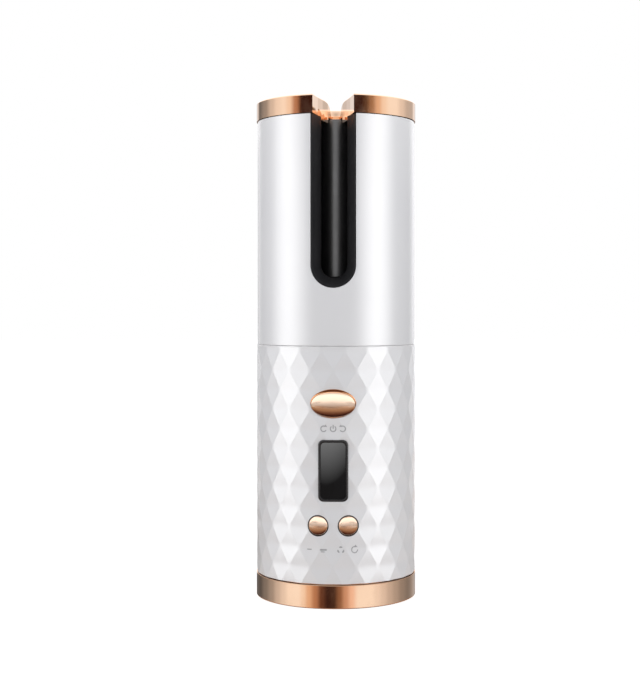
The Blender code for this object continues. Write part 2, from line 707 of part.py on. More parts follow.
def build_barrel():
    """The ceramic-coated barrel, closed at the top, with its heater inside."""
    edge = 0.6 * MM
    profile = ((0.0, BARREL_TOP), (BARREL_RADIUS - edge, BARREL_TOP),
               (BARREL_RADIUS, BARREL_TOP - edge), (BARREL_RADIUS, BARREL_BOTTOM + edge),
               (BARREL_RADIUS - edge, BARREL_BOTTOM), (BARREL_BORE, BARREL_BOTTOM),
               (BARREL_BORE, BARREL_TOP - 1.4 * MM), (0.0, BARREL_TOP - 1.4 * MM))
    turned("barrel", profile, "black_gloss", steps=SEAT_SEGMENTS, ring=False)
    heater_bottom = 130.0 * MM
    heater_top = 183.0 * MM
    middle = (heater_bottom + heater_top) / 2
    flat = 1.9 * MM
    radius = BARREL_BORE - CLEAR
    spread = math.asin(flat / radius)
    arc = [spread + (math.pi - 2 * spread) * i / 16 for i in range(17)]
    half_round = [(radius * math.cos(a), radius * math.sin(a)) for a in arc]
    for side, turn in (("rear", 0.0), ("front", math.pi)):
        place = Matrix.Translation((0.0, 0.0, middle)) @ Matrix.Rotation(turn, 4, "Z")
        extruded("heater_clamp_" + side, [half_round], heater_top - heater_bottom, "aluminium", place)
    thick = flat - CLEAR
    box("heater_plate", (-4.2 * MM, -thick, heater_bottom + 1 * MM),
        (4.2 * MM, thick, heater_top - 1 * MM), "ceramic")
    rod("thermistor", 0.9 * MM, 126.0 * MM, 129.6 * MM, "ceramic", (2.8 * MM, 2.2 * MM), 12)
    rod("thermal_fuse", 1.2 * MM, 109.5 * MM, 120.5 * MM, "nickel", (0.0, 2.2 * MM), 12)


def lead(name, points, finish):
    """An insulated lead: a thin tube along a smooth line through the points."""
    knots = [Vector(p) * MM for p in points]
    path = []
    for i in range(len(knots) - 1):
        before = knots[max(i - 1, 0)]
        after = knots[min(i + 2, len(knots) - 1)]
        start, end = knots[i], knots[i + 1]
        for step in range(LEAD_STEPS):
            t = step / LEAD_STEPS
            bend_in = (end - before) * 0.5
            bend_out = (after - start) * 0.5
            path.append(start * (2 * t ** 3 - 3 * t ** 2 + 1) + bend_in * (t ** 3 - 2 * t ** 2 + t)
                        + end * (3 * t ** 2 - 2 * t ** 3) + bend_out * (t ** 3 - t ** 2))
    path.append(knots[-1])
    curve = bpy.data.curves.new(name, "CURVE")
    curve.dimensions = "3D"
    curve.bevel_depth = LEAD_RADIUS
    curve.bevel_resolution = 1
    curve.use_fill_caps = True
    spline = curve.splines.new("POLY")
    spline.points.add(len(path) - 1)
    for point, place in zip(spline.points, path):
        point.co = (*place, 1.0)
    made = bpy.data.objects.new(name, curve)
    PARTS.objects.link(made)
    curve.materials.append(MATERIALS[finish])
    return made


def build_heater_leads():
    """Two leads from the board, up through the post, to the heater's ends."""
    for side, name, finish in ((-1, "heater_lead_left", "wire_red"), (1, "heater_lead_right", "grey_rubber")):
        points = [(side * 9.0, -17.9, 88.0), (side * 8.0, -14.0, 92.0), (side * 5.0, -6.0, 97.0),
                  (side * 2.4, -1.5, 103.0), (side * 2.2, -1.2, 110.0), (side * 2.2, -1.2, 120.0),
                  (side * 2.2, -1.2, 126.0), (side * 2.4, -2.6, 129.6)]
        lead(name, points, finish)


# ---- power and electronics ---------------------------------------------------
def build_inner_frame():
    """The frame that holds the cells, screwed to the base cap by three posts."""
    plate_bottom = CELL_BOTTOM - 3.0 * MM
    plate_top = CELL_BOTTOM - 0.9 * MM
    frame = rod("inner_frame", 25.4 * MM, plate_bottom, plate_top, "frame_plastic", segments=36)
    spine_front = 6.9 * MM
    spine_back = 8.7 * MM
    top_low = CELL_BOTTOM + CELL_LENGTH + 0.9 * MM
    join(frame, box("frame_spine", (-6 * MM, spine_front, plate_top - 1 * MM),
                    (6 * MM, spine_back, top_low + 1 * MM), "frame_plastic"))
    join(frame, box("frame_roof", (-19 * MM, -12 * MM, top_low),
                    (19 * MM, spine_back + 0.2 * MM, top_low + 2 * MM), "frame_plastic"))
    for index, place in enumerate(base_screw_places()):
        join(frame, rod("frame_post_%d" % index, 2.6 * MM, 2.9 * MM, plate_bottom + 1 * MM,
                        "frame_plastic", place, 20))
        cut(frame, rod("frame_thread_%d" % index, 1.4 * MM, 2.0 * MM, 10.8 * MM,
                       "frame_plastic", place, 16))
    return frame


def build_cells():
    """Two lithium cells side by side, with the strips that join them."""
    bottom = CELL_BOTTOM
    top = bottom + CELL_LENGTH
    for side, name in ((-1, "left"), (1, "right")):
        centre = (side * CELL_X, CELL_Y)
        edge = 0.6 * MM
        profile = ((0.0, top), (3.0 * MM, top), (3.0 * MM, top - 1.2 * MM),
                   (CELL_RADIUS - edge, top - 1.2 * MM), (CELL_RADIUS, top - 1.2 * MM - edge),
                   (CELL_RADIUS, bottom + edge), (CELL_RADIUS - edge, bottom), (0.0, bottom))
        turned("cell_" + name, profile, "cell_wrap", centre=centre, steps=SMALL_SEGMENTS, ring=False)
        box("cell_tab_" + name, (centre[0] - 4 * MM, CELL_Y - 3 * MM, bottom - 0.6 * MM),
            (centre[0] + 4 * MM, CELL_Y + 3 * MM, bottom - 0.3 * MM), "nickel")
    box("cell_link", (-14 * MM, CELL_Y - 3 * MM, top + 0.3 * MM),
        (14 * MM, CELL_Y + 3 * MM, top + 0.6 * MM), "nickel")


def build_boards():
    """The control board behind the display and the charging board in the base."""
    box("main_board", (-16 * MM, BOARD_FRONT, 22 * MM), (16 * MM, BOARD_BACK, 91 * MM), "board_green")
    box("controller_chip", (-12 * MM, BOARD_BACK + CLEAR, 68 * MM),
        (-4 * MM, BOARD_BACK + 1.4 * MM, 76 * MM), "black_plastic")
    box("display_module", (-5.2 * MM, -26.4 * MM, 41.4 * MM),
        (5.2 * MM, BOARD_FRONT - CLEAR, 63.0 * MM), "frame_plastic", 0.3 * MM)
    box("charge_board", (-11 * MM, -8 * MM, CHARGE_BOARD_BOTTOM), (11 * MM, 8 * MM, CHARGE_BOARD_TOP),
        "board_green")
    box("charger_chip", (-9 * MM, 3.4 * MM, CHARGE_BOARD_BOTTOM - 1.4 * MM),
        (-4.5 * MM, 7.4 * MM, CHARGE_BOARD_BOTTOM - CLEAR), "black_plastic")


def build_charge_port():
    """The USB-C inlet under the charging board, a shell with its tongue."""
    port = rounded_points(PORT_HALF[0], PORT_HALF[1], 1.6 * MM)
    wall = 0.35 * MM
    mouth = rounded_points(PORT_HALF[0] - wall, PORT_HALF[1] - wall, 1.25 * MM)
    port_low = 0.6 * MM
    port_high = CHARGE_BOARD_BOTTOM - CLEAR
    shell = extruded("charge_port", [port], port_high - port_low, "steel",
                     Matrix.Translation((0.0, 0.0, (port_low + port_high) / 2)))
    cut(shell, extruded("port_mouth", [mouth], 10 * MM, "steel",
                        Matrix.Translation((0.0, 0.0, 1.4 * MM))))
    join(shell, box("port_tongue", (-3.3 * MM, -0.35 * MM, 1.4 * MM), (3.3 * MM, 0.35 * MM, 7.2 * MM),
                    "steel"))


def build_switches():
    """Three small switches on the board behind the buttons."""
    half = 3.0 * MM
    spots = (("start_switch", 0.0, START_Z, -24.6 * MM),
             ("heat_switch", -3.9 * MM, ROUND_Z, -24.2 * MM),
             ("turn_switch", 3.9 * MM, ROUND_Z, -24.2 * MM))
    for name, x, z, tip in spots:
        body = box(name, (x - half, tip + PLUNGER_PROUD, z - half),
                   (x + half, BOARD_FRONT - CLEAR, z + half), "black_plastic")
        plunger = extruded(name + "_plunger", [circle_points(1.6 * MM, 20)], 2 * MM,
                           "black_plastic", facing_front(x, tip + 1 * MM, z))
        join(body, plunger)


# ---- controls ----------------------------------------------------------------
def curved_front(item, radius):
    """Keep only what lies inside an upright cylinder, so the front face is curved."""
    guide = rod(item.name + "_curve", radius, 20 * MM, 95 * MM, "black_plastic", segments=128)
    return combine(item, guide, "INTERSECT")


def build_display():
    """The display's dark rim and its glass."""
    half_x = DISPLAY_SIZE[0] / 2
    half_z = DISPLAY_SIZE[1] / 2
    inner = rounded_points(half_x - DISPLAY_RIM, half_z - DISPLAY_RIM, 1.3 * MM)
    rim = extruded("display_frame", [rounded_points(half_x, half_z, 2.0 * MM), inner], 5 * MM,
                   "black_plastic", facing_front(0.0, -30.6 * MM, DISPLAY_Z))
    curved_front(rim, 31.85 * MM)
    glass_outline = rounded_points(half_x - DISPLAY_RIM - 0.25 * MM, half_z - DISPLAY_RIM - 0.25 * MM,
                                   1.1 * MM)
    glass = extruded("display_window", [glass_outline], 4 * MM, "display_glass",
                     facing_front(0.0, -31.3 * MM, DISPLAY_Z))
    curved_front(glass, 31.7 * MM)


def domed_button(name, outline, flange_share, flange_thick, edge_depth, crown, place):
    """A domed cap with a skirt, a flange inside the shell and a stem to the switch.

    Depths are measured outwards from the outline's plane, where the stem starts.
    """
    stem = circle_points(STEM_RADIUS, len(outline))
    flange = [(x * flange_share, z * flange_share) for x, z in outline]
    flange_top = BUTTON_STEM + flange_thick
    sections = [(stem, 0.0), (stem, BUTTON_STEM), (flange, BUTTON_STEM), (flange, flange_top),
                (outline, flange_top), (outline, edge_depth)]
    for a in (math.radians(30.0), math.radians(60.0)):
        sections.append(([(x * math.cos(a), z * math.cos(a)) for x, z in outline],
                         edge_depth + crown * math.sin(a)))
    rings = [[(x, z, depth) for x, z in points] for points, depth in sections]

    def build(work):
        grid = [[work.verts.new(p) for p in ring] for ring in rings]
        count = len(outline)
        for lower, upper in zip(grid, grid[1:]):
            for i in range(count):
                j = (i + 1) % count
                work.faces.new((lower[i], lower[j], upper[j], upper[i]))
        work.faces.new(list(reversed(grid[0])))
        tip = work.verts.new((0.0, 0.0, edge_depth + crown))
        for i in range(count):
            work.faces.new((grid[-1][i], grid[-1][(i + 1) % count], tip))
        bmesh.ops.recalc_face_normals(work, faces=work.faces)

    made = add_object(name, mesh_from(build, name), "rose_gold")
    made.matrix_world = place
    return smooth(made, 40.0)


def build_start_controls():
    """The oval start button in its plated bezel."""
    bezel_hole = oval_points(START_FACE_HALF[0] + 0.22 * MM, START_FACE_HALF[1] + 0.22 * MM)
    bezel = extruded("start_bezel", [oval_points(*START_HALF), bezel_hole], 5 * MM, "rose_gold",
                     facing_front(0.0, -30.6 * MM, START_Z))
    curved_front(bezel, 31.9 * MM)
    foot = 26.0 * MM
    domed_button("start_button", oval_points(*START_FACE_HALF, 28), 1.12, 1.0 * MM, 5.7 * MM,
                 1.2 * MM, facing_front(0.0, -foot, START_Z))


def build_round_buttons():
    """The two round buttons, set radially below the display."""
    foot = 25.9 * MM
    for side, name in ((-1, "heat_button"), (1, "turn_button")):
        swing = side * ROUND_ANGLE
        place = facing_front(foot * math.sin(swing), -foot * math.cos(swing), ROUND_Z, swing)
        domed_button(name, circle_points(ROUND_RADIUS, 20), 1.26, 0.9 * MM, 5.6 * MM, 0.8 * MM,
                     place)


def main():
    """Build every piece, from the base up."""
    build_base_cap()
    build_foot_ring()
    build_base_screws()
    build_handle_shell()
    build_upper_shell()
    build_top_cap()
    build_slot_throat()
    build_chamber_sleeve()
    build_winding_rotor()
    build_hair_catch()
    build_gears()
    build_motor()
    build_gear_deck()
    build_barrel_seat()
    build_barrel()
    build_heater_leads()
    build_inner_frame()
    build_cells()
    build_boards()
    build_charge_port()
    build_switches()
    build_display()
    build_start_controls()
    build_round_buttons()


main()
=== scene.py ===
"""Looks of the cordless automatic hair curler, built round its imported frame."""

import json
import logging
import math
from dataclasses import dataclass, field
from enum import Enum
from typing import Callable, Sequence

import bmesh
import bpy
from mathutils import Matrix, Vector

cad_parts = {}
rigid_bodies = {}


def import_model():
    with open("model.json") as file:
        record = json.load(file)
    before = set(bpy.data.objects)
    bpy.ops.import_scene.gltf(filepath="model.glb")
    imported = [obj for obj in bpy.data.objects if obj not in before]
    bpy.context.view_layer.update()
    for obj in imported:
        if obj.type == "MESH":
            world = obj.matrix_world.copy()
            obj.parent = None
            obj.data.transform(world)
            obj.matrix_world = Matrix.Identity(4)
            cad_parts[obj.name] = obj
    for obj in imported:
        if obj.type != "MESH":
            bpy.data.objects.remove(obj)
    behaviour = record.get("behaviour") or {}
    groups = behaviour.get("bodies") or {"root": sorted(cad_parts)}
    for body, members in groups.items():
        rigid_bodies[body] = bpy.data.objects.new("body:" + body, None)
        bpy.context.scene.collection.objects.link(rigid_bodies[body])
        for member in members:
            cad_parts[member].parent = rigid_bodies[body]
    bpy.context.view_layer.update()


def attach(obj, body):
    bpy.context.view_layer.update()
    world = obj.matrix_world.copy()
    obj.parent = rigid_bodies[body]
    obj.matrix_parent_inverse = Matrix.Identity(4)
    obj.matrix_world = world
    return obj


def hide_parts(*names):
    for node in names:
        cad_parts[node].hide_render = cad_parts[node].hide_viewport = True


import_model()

LOG = logging.getLogger("hair_curler")
MM = 0.001
PREFIX = "finish_"
FULL_TURN = 2.0 * math.pi
QUARTER_TURN = math.radians(90.0)
WELD = 0.000002
Pair = tuple[float, float]
Triple = tuple[float, float, float]


class Body(str, Enum):
    """The bodies that pieces ride on."""

    HOUSING = "housing"
    ROTOR = "rotor"
    PINION = "pinion"
    START = "start"
    HEAT = "heat"
    TURN = "turn"


# ---- node trees ---------------------------------------------------------------
class Graph:
    """A thin wrapper that adds and links the nodes of one tree."""

    def __init__(self, tree: bpy.types.NodeTree) -> None:
        """Keep the tree.

        Args:
            tree: the node tree to build in.
        """
        self.tree = tree

    def add(self, kind: str, feeds: dict | None = None, **settings: object) -> bpy.types.Node:
        """Add a node, set its properties and feed its inputs.

        Args:
            kind: the node's type name.
            feeds: values or sockets for its inputs, by name or number.
            settings: properties of the node.

        Returns:
            The new node.
        """
        node = self.tree.nodes.new(kind)
        for name, value in settings.items():
            setattr(node, name, value)
        for socket, value in (feeds or {}).items():
            self.feed(node.inputs[socket], value)
        return node

    def out(self, kind: str, feeds: dict | None = None, **settings: object) -> bpy.types.NodeSocket:
        """Add a node as above and give its first output."""
        return self.add(kind, feeds, **settings).outputs[0]

    def feed(self, socket: bpy.types.NodeSocket, value: object) -> None:
        """Link a socket to another, or set its value.

        Args:
            socket: the input to feed.
            value: an output socket, or a plain value.
        """
        if isinstance(value, bpy.types.NodeSocket):
            self.tree.links.new(value, socket)
        else:
            socket.default_value = value

    def math(self, operation: str, first: object, second: object = 0.0) -> bpy.types.NodeSocket:
        """One step of arithmetic.

        Args:
            operation: the Math node's operation.
            first: first operand, a socket or a number.
            second: second operand, a socket or a number.

        Returns:
            The result's socket.
        """
        return self.out("ShaderNodeMath", {0: first, 1: second}, operation=operation)

    def spread(self, value: bpy.types.NodeSocket, low: float = 0.0, high: float = 1.0,
               start: float = 0.3, end: float = 0.7, **settings: object) -> bpy.types.NodeSocket:
        """Map a value's range to another range.

        Args:
            value: the value.
            low: result at the start.
            high: result at the end.
            start: value mapped to low.
            end: value mapped to high.
            settings: properties of the node.

        Returns:
            The mapped socket.
        """
        return self.out("ShaderNodeMapRange", {"Value": value, "From Min": start, "From Max": end,
                                               "To Min": low, "To Max": high}, **settings)

    def blend(self, share: bpy.types.NodeSocket, first: object,
              second: object) -> bpy.types.NodeSocket:
        """Mix two colours.

        Args:
            share: how much of the second colour.
            first: a colour or a socket.
            second: a colour or a socket.

        Returns:
            The mixed colour's socket.
        """
        feeds = {"Factor": share, "A": opaque(first), "B": opaque(second)}
        return self.add("ShaderNodeMix", feeds, data_type="RGBA").outputs["Result"]


class Paint(Graph):
    """A Principled material under construction."""

    def __init__(self, name: str) -> None:
        """Start a material.

        Args:
            name: the material's name.
        """
        self.material = bpy.data.materials.new(PREFIX + name)
        self.material.use_nodes = True
        super().__init__(self.material.node_tree)
        self.shader = self.tree.nodes["Principled BSDF"]

    def fix(self, **values: object) -> None:
        """Set constant values on the shader's own sockets.

        Args:
            values: socket names, with underscores for spaces, and their values.
        """
        for name, value in values.items():
            self.shader.inputs[name.replace("_", " ")].default_value = value

    def place(self, stretch: Triple = (1.0, 1.0, 1.0)) -> bpy.types.NodeSocket:
        """Object coordinates, stretched along each axis."""
        where = self.add("ShaderNodeTexCoord").outputs["Object"]
        return self.out("ShaderNodeMapping", {"Vector": where, "Scale": stretch})

    def noise(self, per_metre: float, detail: float = 2.0, stretch: Triple = (1.0, 1.0, 1.0),
              distortion: float = 0.0) -> bpy.types.NodeSocket:
        """A noise value in object space.

        Args:
            per_metre: how many blotches a metre holds.
            detail: octaves of finer noise.
            stretch: scale along each axis.
            distortion: how far the pattern is warped.

        Returns:
            The noise socket.
        """
        return self.out("ShaderNodeTexNoise", {"Vector": self.place(stretch), "Scale": per_metre,
                                               "Detail": detail, "Distortion": distortion})

    def relief(self, height: bpy.types.NodeSocket, strength: float, depth: float) -> None:
        """Bump the surface, on top of any relief that it has already.

        Args:
            height: the pattern.
            strength: from 0 to 1.
            depth: real height of the pattern in metres.
        """
        node = self.add("ShaderNodeBump", {"Strength": strength, "Distance": depth,
                                           "Height": height})
        normal = self.shader.inputs["Normal"]
        if normal.is_linked:
            self.feed(node.inputs["Normal"], normal.links[0].from_socket)
        self.feed(normal, node.outputs["Normal"])

    def drive(self, name: str, value: bpy.types.NodeSocket) -> None:
        """Feed one of the shader's sockets from a pattern."""
        self.feed(self.shader.inputs[name], value)

    def tint(self, share: bpy.types.NodeSocket, first: object, second: object) -> None:
        """Blend the base colour between two tones."""
        self.drive("Base Color", self.blend(share, first, second))


def opaque(colour: object) -> object:
    """Give a plain colour its alpha; leave a socket alone."""
    if isinstance(colour, bpy.types.NodeSocket):
        return colour
    return (*colour, 1.0)


# ---- finishes -----------------------------------------------------------------
@dataclass(frozen=True)
class GlossWhite:
    """Glossy white moulded plastic, with the faint waviness of a polished tool."""

    name: str = "gloss_white_shell"
    colour: Triple = (0.70, 0.70, 0.715)
    shade: Triple = (0.68, 0.68, 0.70)
    roughness: Pair = (0.28, 0.34)

    def build(self) -> bpy.types.Material:
        """Make the material."""
        paint = Paint(self.name)
        paint.fix(IOR=1.7, Coat_Weight=1.0, Coat_IOR=1.75, Coat_Roughness=0.26)
        paint.tint(paint.spread(paint.noise(38.0, 3.0)), self.colour, self.shade)
        paint.drive("Roughness", paint.spread(paint.noise(70.0, 2.0), *self.roughness))
        paint.relief(paint.noise(700.0, 2.0), 0.05, 0.02 * MM)
        return paint.material


@dataclass(frozen=True)
class RoseGold:
    """Rose-gold electroplating: a mirror with faint turning lines and softer patches."""

    name: str = "rose_gold_plate"
    colour: Triple = (0.86, 0.60, 0.42)
    tarnish: Triple = (0.83, 0.555, 0.38)
    roughness: Pair = (0.035, 0.075)
    lines: float = 0.12

    def build(self) -> bpy.types.Material:
        """Make the material."""
        paint = Paint(self.name)
        paint.fix(Metallic=1.0)
        paint.tint(paint.spread(paint.noise(55.0, 3.0)), self.colour, self.tarnish)
        smears = paint.noise(240.0, 4.0, (1.0, 1.0, 0.5), 0.4)
        paint.drive("Roughness", paint.spread(smears, *self.roughness))
        turning = paint.noise(60.0, 3.0, (0.6, 0.6, 60.0))
        paint.relief(turning, self.lines, 0.002 * MM)
        return paint.material


@dataclass(frozen=True)
class Moulded:
    """Moulded plastic with a spark-eroded texture and slight flow marks."""

    name: str
    colour: Triple
    shade: Triple
    roughness: Pair = (0.4, 0.55)
    grain: float = 2600.0
    grain_depth: float = 0.03 * MM
    specks: float = 0.0
    coat: float = 0.0

    def build(self) -> bpy.types.Material:
        """Make the material."""
        paint = Paint(self.name)
        paint.fix(IOR=1.5, Coat_Weight=self.coat, Coat_Roughness=0.08)
        cloud = paint.spread(paint.noise(90.0, 4.0, distortion=0.5))
        colour = paint.blend(cloud, self.colour, self.shade)
        if self.specks:
            fibres = paint.spread(paint.noise(1400.0, 1.0, (1.0, 1.0, 0.2)), 0.0, self.specks, 0.62,
                                  0.7)
            colour = paint.blend(fibres, colour, tuple(0.5 * c for c in self.shade))
        paint.drive("Base Color", colour)
        paint.drive("Roughness", paint.spread(paint.noise(420.0, 3.0), *self.roughness))
        paint.relief(paint.noise(self.grain, 2.0), 0.35, self.grain_depth)
        return paint.material


@dataclass(frozen=True)
class CeramicBlack:
    """Black ceramic coating: glassy, with fine mineral specks."""

    name: str = "barrel_ceramic"
    colour: Triple = (0.012, 0.012, 0.013)
    speck: Triple = (0.10, 0.095, 0.09)

    def build(self) -> bpy.types.Material:
        """Make the material."""
        paint = Paint(self.name)
        paint.fix(IOR=1.8, Coat_Weight=0.5, Coat_Roughness=0.3)
        paint.tint(paint.spread(paint.noise(5200.0, 0.0), start=0.74, end=0.8), self.colour,
                   self.speck)
        paint.drive("Roughness", paint.spread(paint.noise(300.0, 4.0), 0.34, 0.42))
        paint.relief(paint.noise(1500.0, 2.0), 0.12, 0.01 * MM)
        return paint.material


@dataclass(frozen=True)
class TintedWindow:
    """Black tinted acrylic with the ghost of a touch on it."""

    name: str = "display_glass"
    colour: Triple = (0.001, 0.001, 0.0011)
    smear: Triple = (0.002, 0.002, 0.0022)

    def build(self) -> bpy.types.Material:
        """Make the material."""
        paint = Paint(self.name)
        paint.fix(IOR=1.5, Specular_IOR_Level=0.12)
        haze = paint.noise(120.0, 4.0, (1.0, 1.0, 0.5), 1.2)
        paint.tint(paint.spread(haze), self.colour, self.smear)
        paint.drive("Roughness", paint.spread(haze, 0.012, 0.03))
        return paint.material


@dataclass(frozen=True)
class Metal:
    """A bare or plated metal with grain along one direction."""

    name: str
    colour: Triple
    shade: Triple
    roughness: Pair
    stretch: Triple = (1.0, 1.0, 1.0)
    grain: float = 900.0

    def build(self) -> bpy.types.Material:
        """Make the material."""
        paint = Paint(self.name)
        paint.fix(Metallic=1.0)
        paint.tint(paint.spread(paint.noise(130.0, 4.0)), self.colour, self.shade)
        brush = paint.noise(self.grain, 3.0, self.stretch)
        paint.drive("Roughness", paint.spread(brush, *self.roughness))
        paint.relief(brush, 0.25, 0.006 * MM)
        return paint.material


@dataclass(frozen=True)
class Rubber:
    """Soft matt rubber with a bloom of dust."""

    name: str
    colour: Triple
    dust: Triple
    roughness: Pair = (0.65, 0.85)

    def build(self) -> bpy.types.Material:
        """Make the material."""
        paint = Paint(self.name)
        paint.fix(IOR=1.45, Sheen_Weight=0.15)
        paint.tint(paint.spread(paint.noise(210.0, 5.0, distortion=0.4), 0.0, 0.55), self.colour,
                   self.dust)
        paint.drive("Roughness", paint.spread(paint.noise(500.0, 3.0), *self.roughness))
        paint.relief(paint.noise(3000.0, 3.0), 0.4, 0.03 * MM)
        return paint.material


@dataclass(frozen=True)
class CircuitBoard:
    """Green solder mask over copper tracks."""

    name: str = "circuit_board"
    mask: Triple = (0.012, 0.10, 0.045)
    track: Triple = (0.03, 0.19, 0.08)

    def build(self) -> bpy.types.Material:
        """Make the material."""
        paint = Paint(self.name)
        paint.fix(IOR=1.5, Coat_Weight=0.5, Coat_Roughness=0.12)
        cells = paint.add("ShaderNodeTexVoronoi", {"Vector": paint.place(), "Scale": 320.0,
                                                   "Randomness": 0.7},
                          feature="DISTANCE_TO_EDGE", distance="CHEBYCHEV")
        lines = paint.spread(cells.outputs["Distance"], 1.0, 0.0, 0.05, 0.09)
        paint.tint(lines, self.mask, self.track)
        paint.drive("Roughness", paint.spread(paint.noise(600.0, 2.0), 0.25, 0.4))
        paint.relief(lines, 0.5, 0.03 * MM)
        return paint.material


@dataclass(frozen=True)
class CellSleeve:
    """Blue heat-shrink sleeve with faint shrink wrinkles."""

    name: str = "cell_sleeve"
    colour: Triple = (0.03, 0.14, 0.42)
    shade: Triple = (0.02, 0.10, 0.33)

    def build(self) -> bpy.types.Material:
        """Make the material."""
        paint = Paint(self.name)
        paint.fix(IOR=1.5, Coat_Weight=0.2, Coat_Roughness=0.2)
        paint.tint(paint.spread(paint.noise(70.0, 3.0)), self.colour, self.shade)
        paint.drive("Roughness", paint.spread(paint.noise(350.0, 3.0), 0.3, 0.42))
        paint.relief(paint.noise(260.0, 3.0, (1.0, 1.0, 0.25)), 0.3, 0.06 * MM)
        return paint.material


@dataclass(frozen=True)
class Ink:
    """Grey pad-printed ink, a little uneven."""

    name: str = "grey_print"
    colour: Triple = (0.30, 0.30, 0.31)

    def build(self) -> bpy.types.Material:
        """Make the material."""
        paint = Paint(self.name)
        paint.fix(IOR=1.45)
        thin = tuple(1.25 * c for c in self.colour)
        paint.tint(paint.spread(paint.noise(2200.0, 2.0)), self.colour, thin)
        paint.drive("Roughness", paint.spread(paint.noise(900.0, 2.0), 0.4, 0.55))
        return paint.material


class Finish(Enum):
    """Every finish on the curler."""

    WHITE = GlossWhite()
    ROSE_GOLD = RoseGold()
    ROSE_SATIN = RoseGold("rose_gold_satin", (0.90, 0.68, 0.52), (0.88, 0.65, 0.49), (0.17, 0.22),
                          0.0)
    THROAT = Moulded("throat_plastic", (0.016, 0.016, 0.018), (0.022, 0.022, 0.024), (0.42, 0.52),
                     1800.0, 0.02 * MM)
    BLACK = Moulded("black_plastic", (0.02, 0.02, 0.021), (0.03, 0.03, 0.031))
    RIM = Moulded("display_rim", (0.006, 0.006, 0.007), (0.01, 0.01, 0.011), (0.22, 0.3), 1500.0,
                  0.01 * MM)
    FRAME = Moulded("glass_filled_frame", (0.62, 0.61, 0.57), (0.56, 0.55, 0.5), specks=0.5)
    ACETAL = Moulded("acetal", (0.78, 0.77, 0.72), (0.72, 0.71, 0.66), (0.3, 0.4))
    LEAD_RED = Moulded("red_lead", (0.4, 0.02, 0.015), (0.32, 0.015, 0.012), (0.35, 0.5))
    LEAD_BLACK = Moulded("black_lead", (0.02, 0.02, 0.02), (0.03, 0.03, 0.03), (0.35, 0.5))
    CERAMIC = Moulded("heater_ceramic", (0.8, 0.77, 0.7), (0.7, 0.67, 0.6), (0.6, 0.8))
    BARREL = CeramicBlack()
    WINDOW = TintedWindow()
    RUBBER = Rubber("foot_rubber", (0.035, 0.035, 0.037), (0.11, 0.11, 0.11))
    STEEL = Metal("zinc_plated_steel", (0.56, 0.57, 0.59), (0.47, 0.48, 0.5), (0.24, 0.4))
    NICKEL = Metal("nickel_plate", (0.63, 0.6, 0.55), (0.56, 0.53, 0.48), (0.2, 0.34),
                   (1.0, 1.0, 0.05))
    BRASS = Metal("brass", (0.72, 0.5, 0.2), (0.62, 0.42, 0.16), (0.2, 0.35), (0.1, 0.1, 1.0))
    ALUMINIUM = Metal("aluminium", (0.72, 0.73, 0.75), (0.64, 0.65, 0.67), (0.3, 0.45),
                      (1.0, 1.0, 0.03))
    BOARD = CircuitBoard()
    CELL = CellSleeve()
    INK = Ink()

    @property
    def material(self) -> bpy.types.Material:
        """The finish's material, made once."""
        found = bpy.data.materials.get(PREFIX + self.value.name)
        return found if found is not None else self.value.build()


# ---- meshes -------------------------------------------------------------------
class Skin:
    """A mesh under construction: grids of points joined by faces."""

    def __init__(self) -> None:
        """Start empty."""
        self.points: list[Triple] = []
        self.faces: list[tuple[int, ...]] = []

    def row(self, points: Sequence[Triple]) -> list[int]:
        """Add points and return their numbers."""
        start = len(self.points)
        self.points.extend(points)
        return list(range(start, len(self.points)))

    def strip(self, first: Sequence[int], second: Sequence[int], around: bool = False) -> None:
        """Join two rows of points with quads.

        Args:
            first: numbers of one row.
            second: numbers of the other row, as many.
            around: whether the rows close on themselves.
        """
        count = len(first)
        for i in range(count if around else count - 1):
            j = (i + 1) % count
            self.faces.append((first[i], first[j], second[j], second[i]))

    def face(self, corners: Sequence[int]) -> None:
        """Add one face."""
        self.faces.append(tuple(corners))

    def loft(self, rows: Sequence[Sequence[Triple]], around: bool = True, closed: bool = False,
             capped: bool = False) -> list[list[int]]:
        """Add rows of points and join each row to the next.

        Args:
            rows: the rows, with as many points in each.
            around: whether each row closes on itself.
            closed: whether the last row is joined to the first.
            capped: whether one face closes the first row and another the last.

        Returns:
            The numbers of the points, row by row.
        """
        made = [self.row(points) for points in rows]
        for first, second in zip(made, made[1:] + made[:1] if closed else made[1:]):
            self.strip(first, second, around)
        if capped:
            self.face(made[0])
            self.face(made[-1])
        return made

    def mesh(self, name: str, sharp: float = 30.0) -> bpy.types.Mesh:
        """Finish the mesh: weld it, drop empty faces, turn it outwards and shade it.

        Args:
            name: the mesh's name.
            sharp: edges steeper than this many degrees stay sharp.

        Returns:
            The mesh.
        """
        made = bpy.data.meshes.new(name)
        made.from_pydata(self.points, [], self.faces)
        work = bmesh.new()
        work.from_mesh(made)
        bmesh.ops.remove_doubles(work, verts=work.verts, dist=WELD)
        bmesh.ops.dissolve_degenerate(work, edges=work.edges, dist=WELD * 0.5)
        bmesh.ops.recalc_face_normals(work, faces=work.faces)
        work.to_mesh(made)
        work.free()
        return shaded(made, sharp)


def shaded(mesh: bpy.types.Mesh, sharp: float) -> bpy.types.Mesh:
    """Shade a mesh smooth, but for edges steeper than so many degrees."""
    mesh.shade_smooth()
    mesh.set_sharp_from_angle(angle=math.radians(sharp))
    return mesh


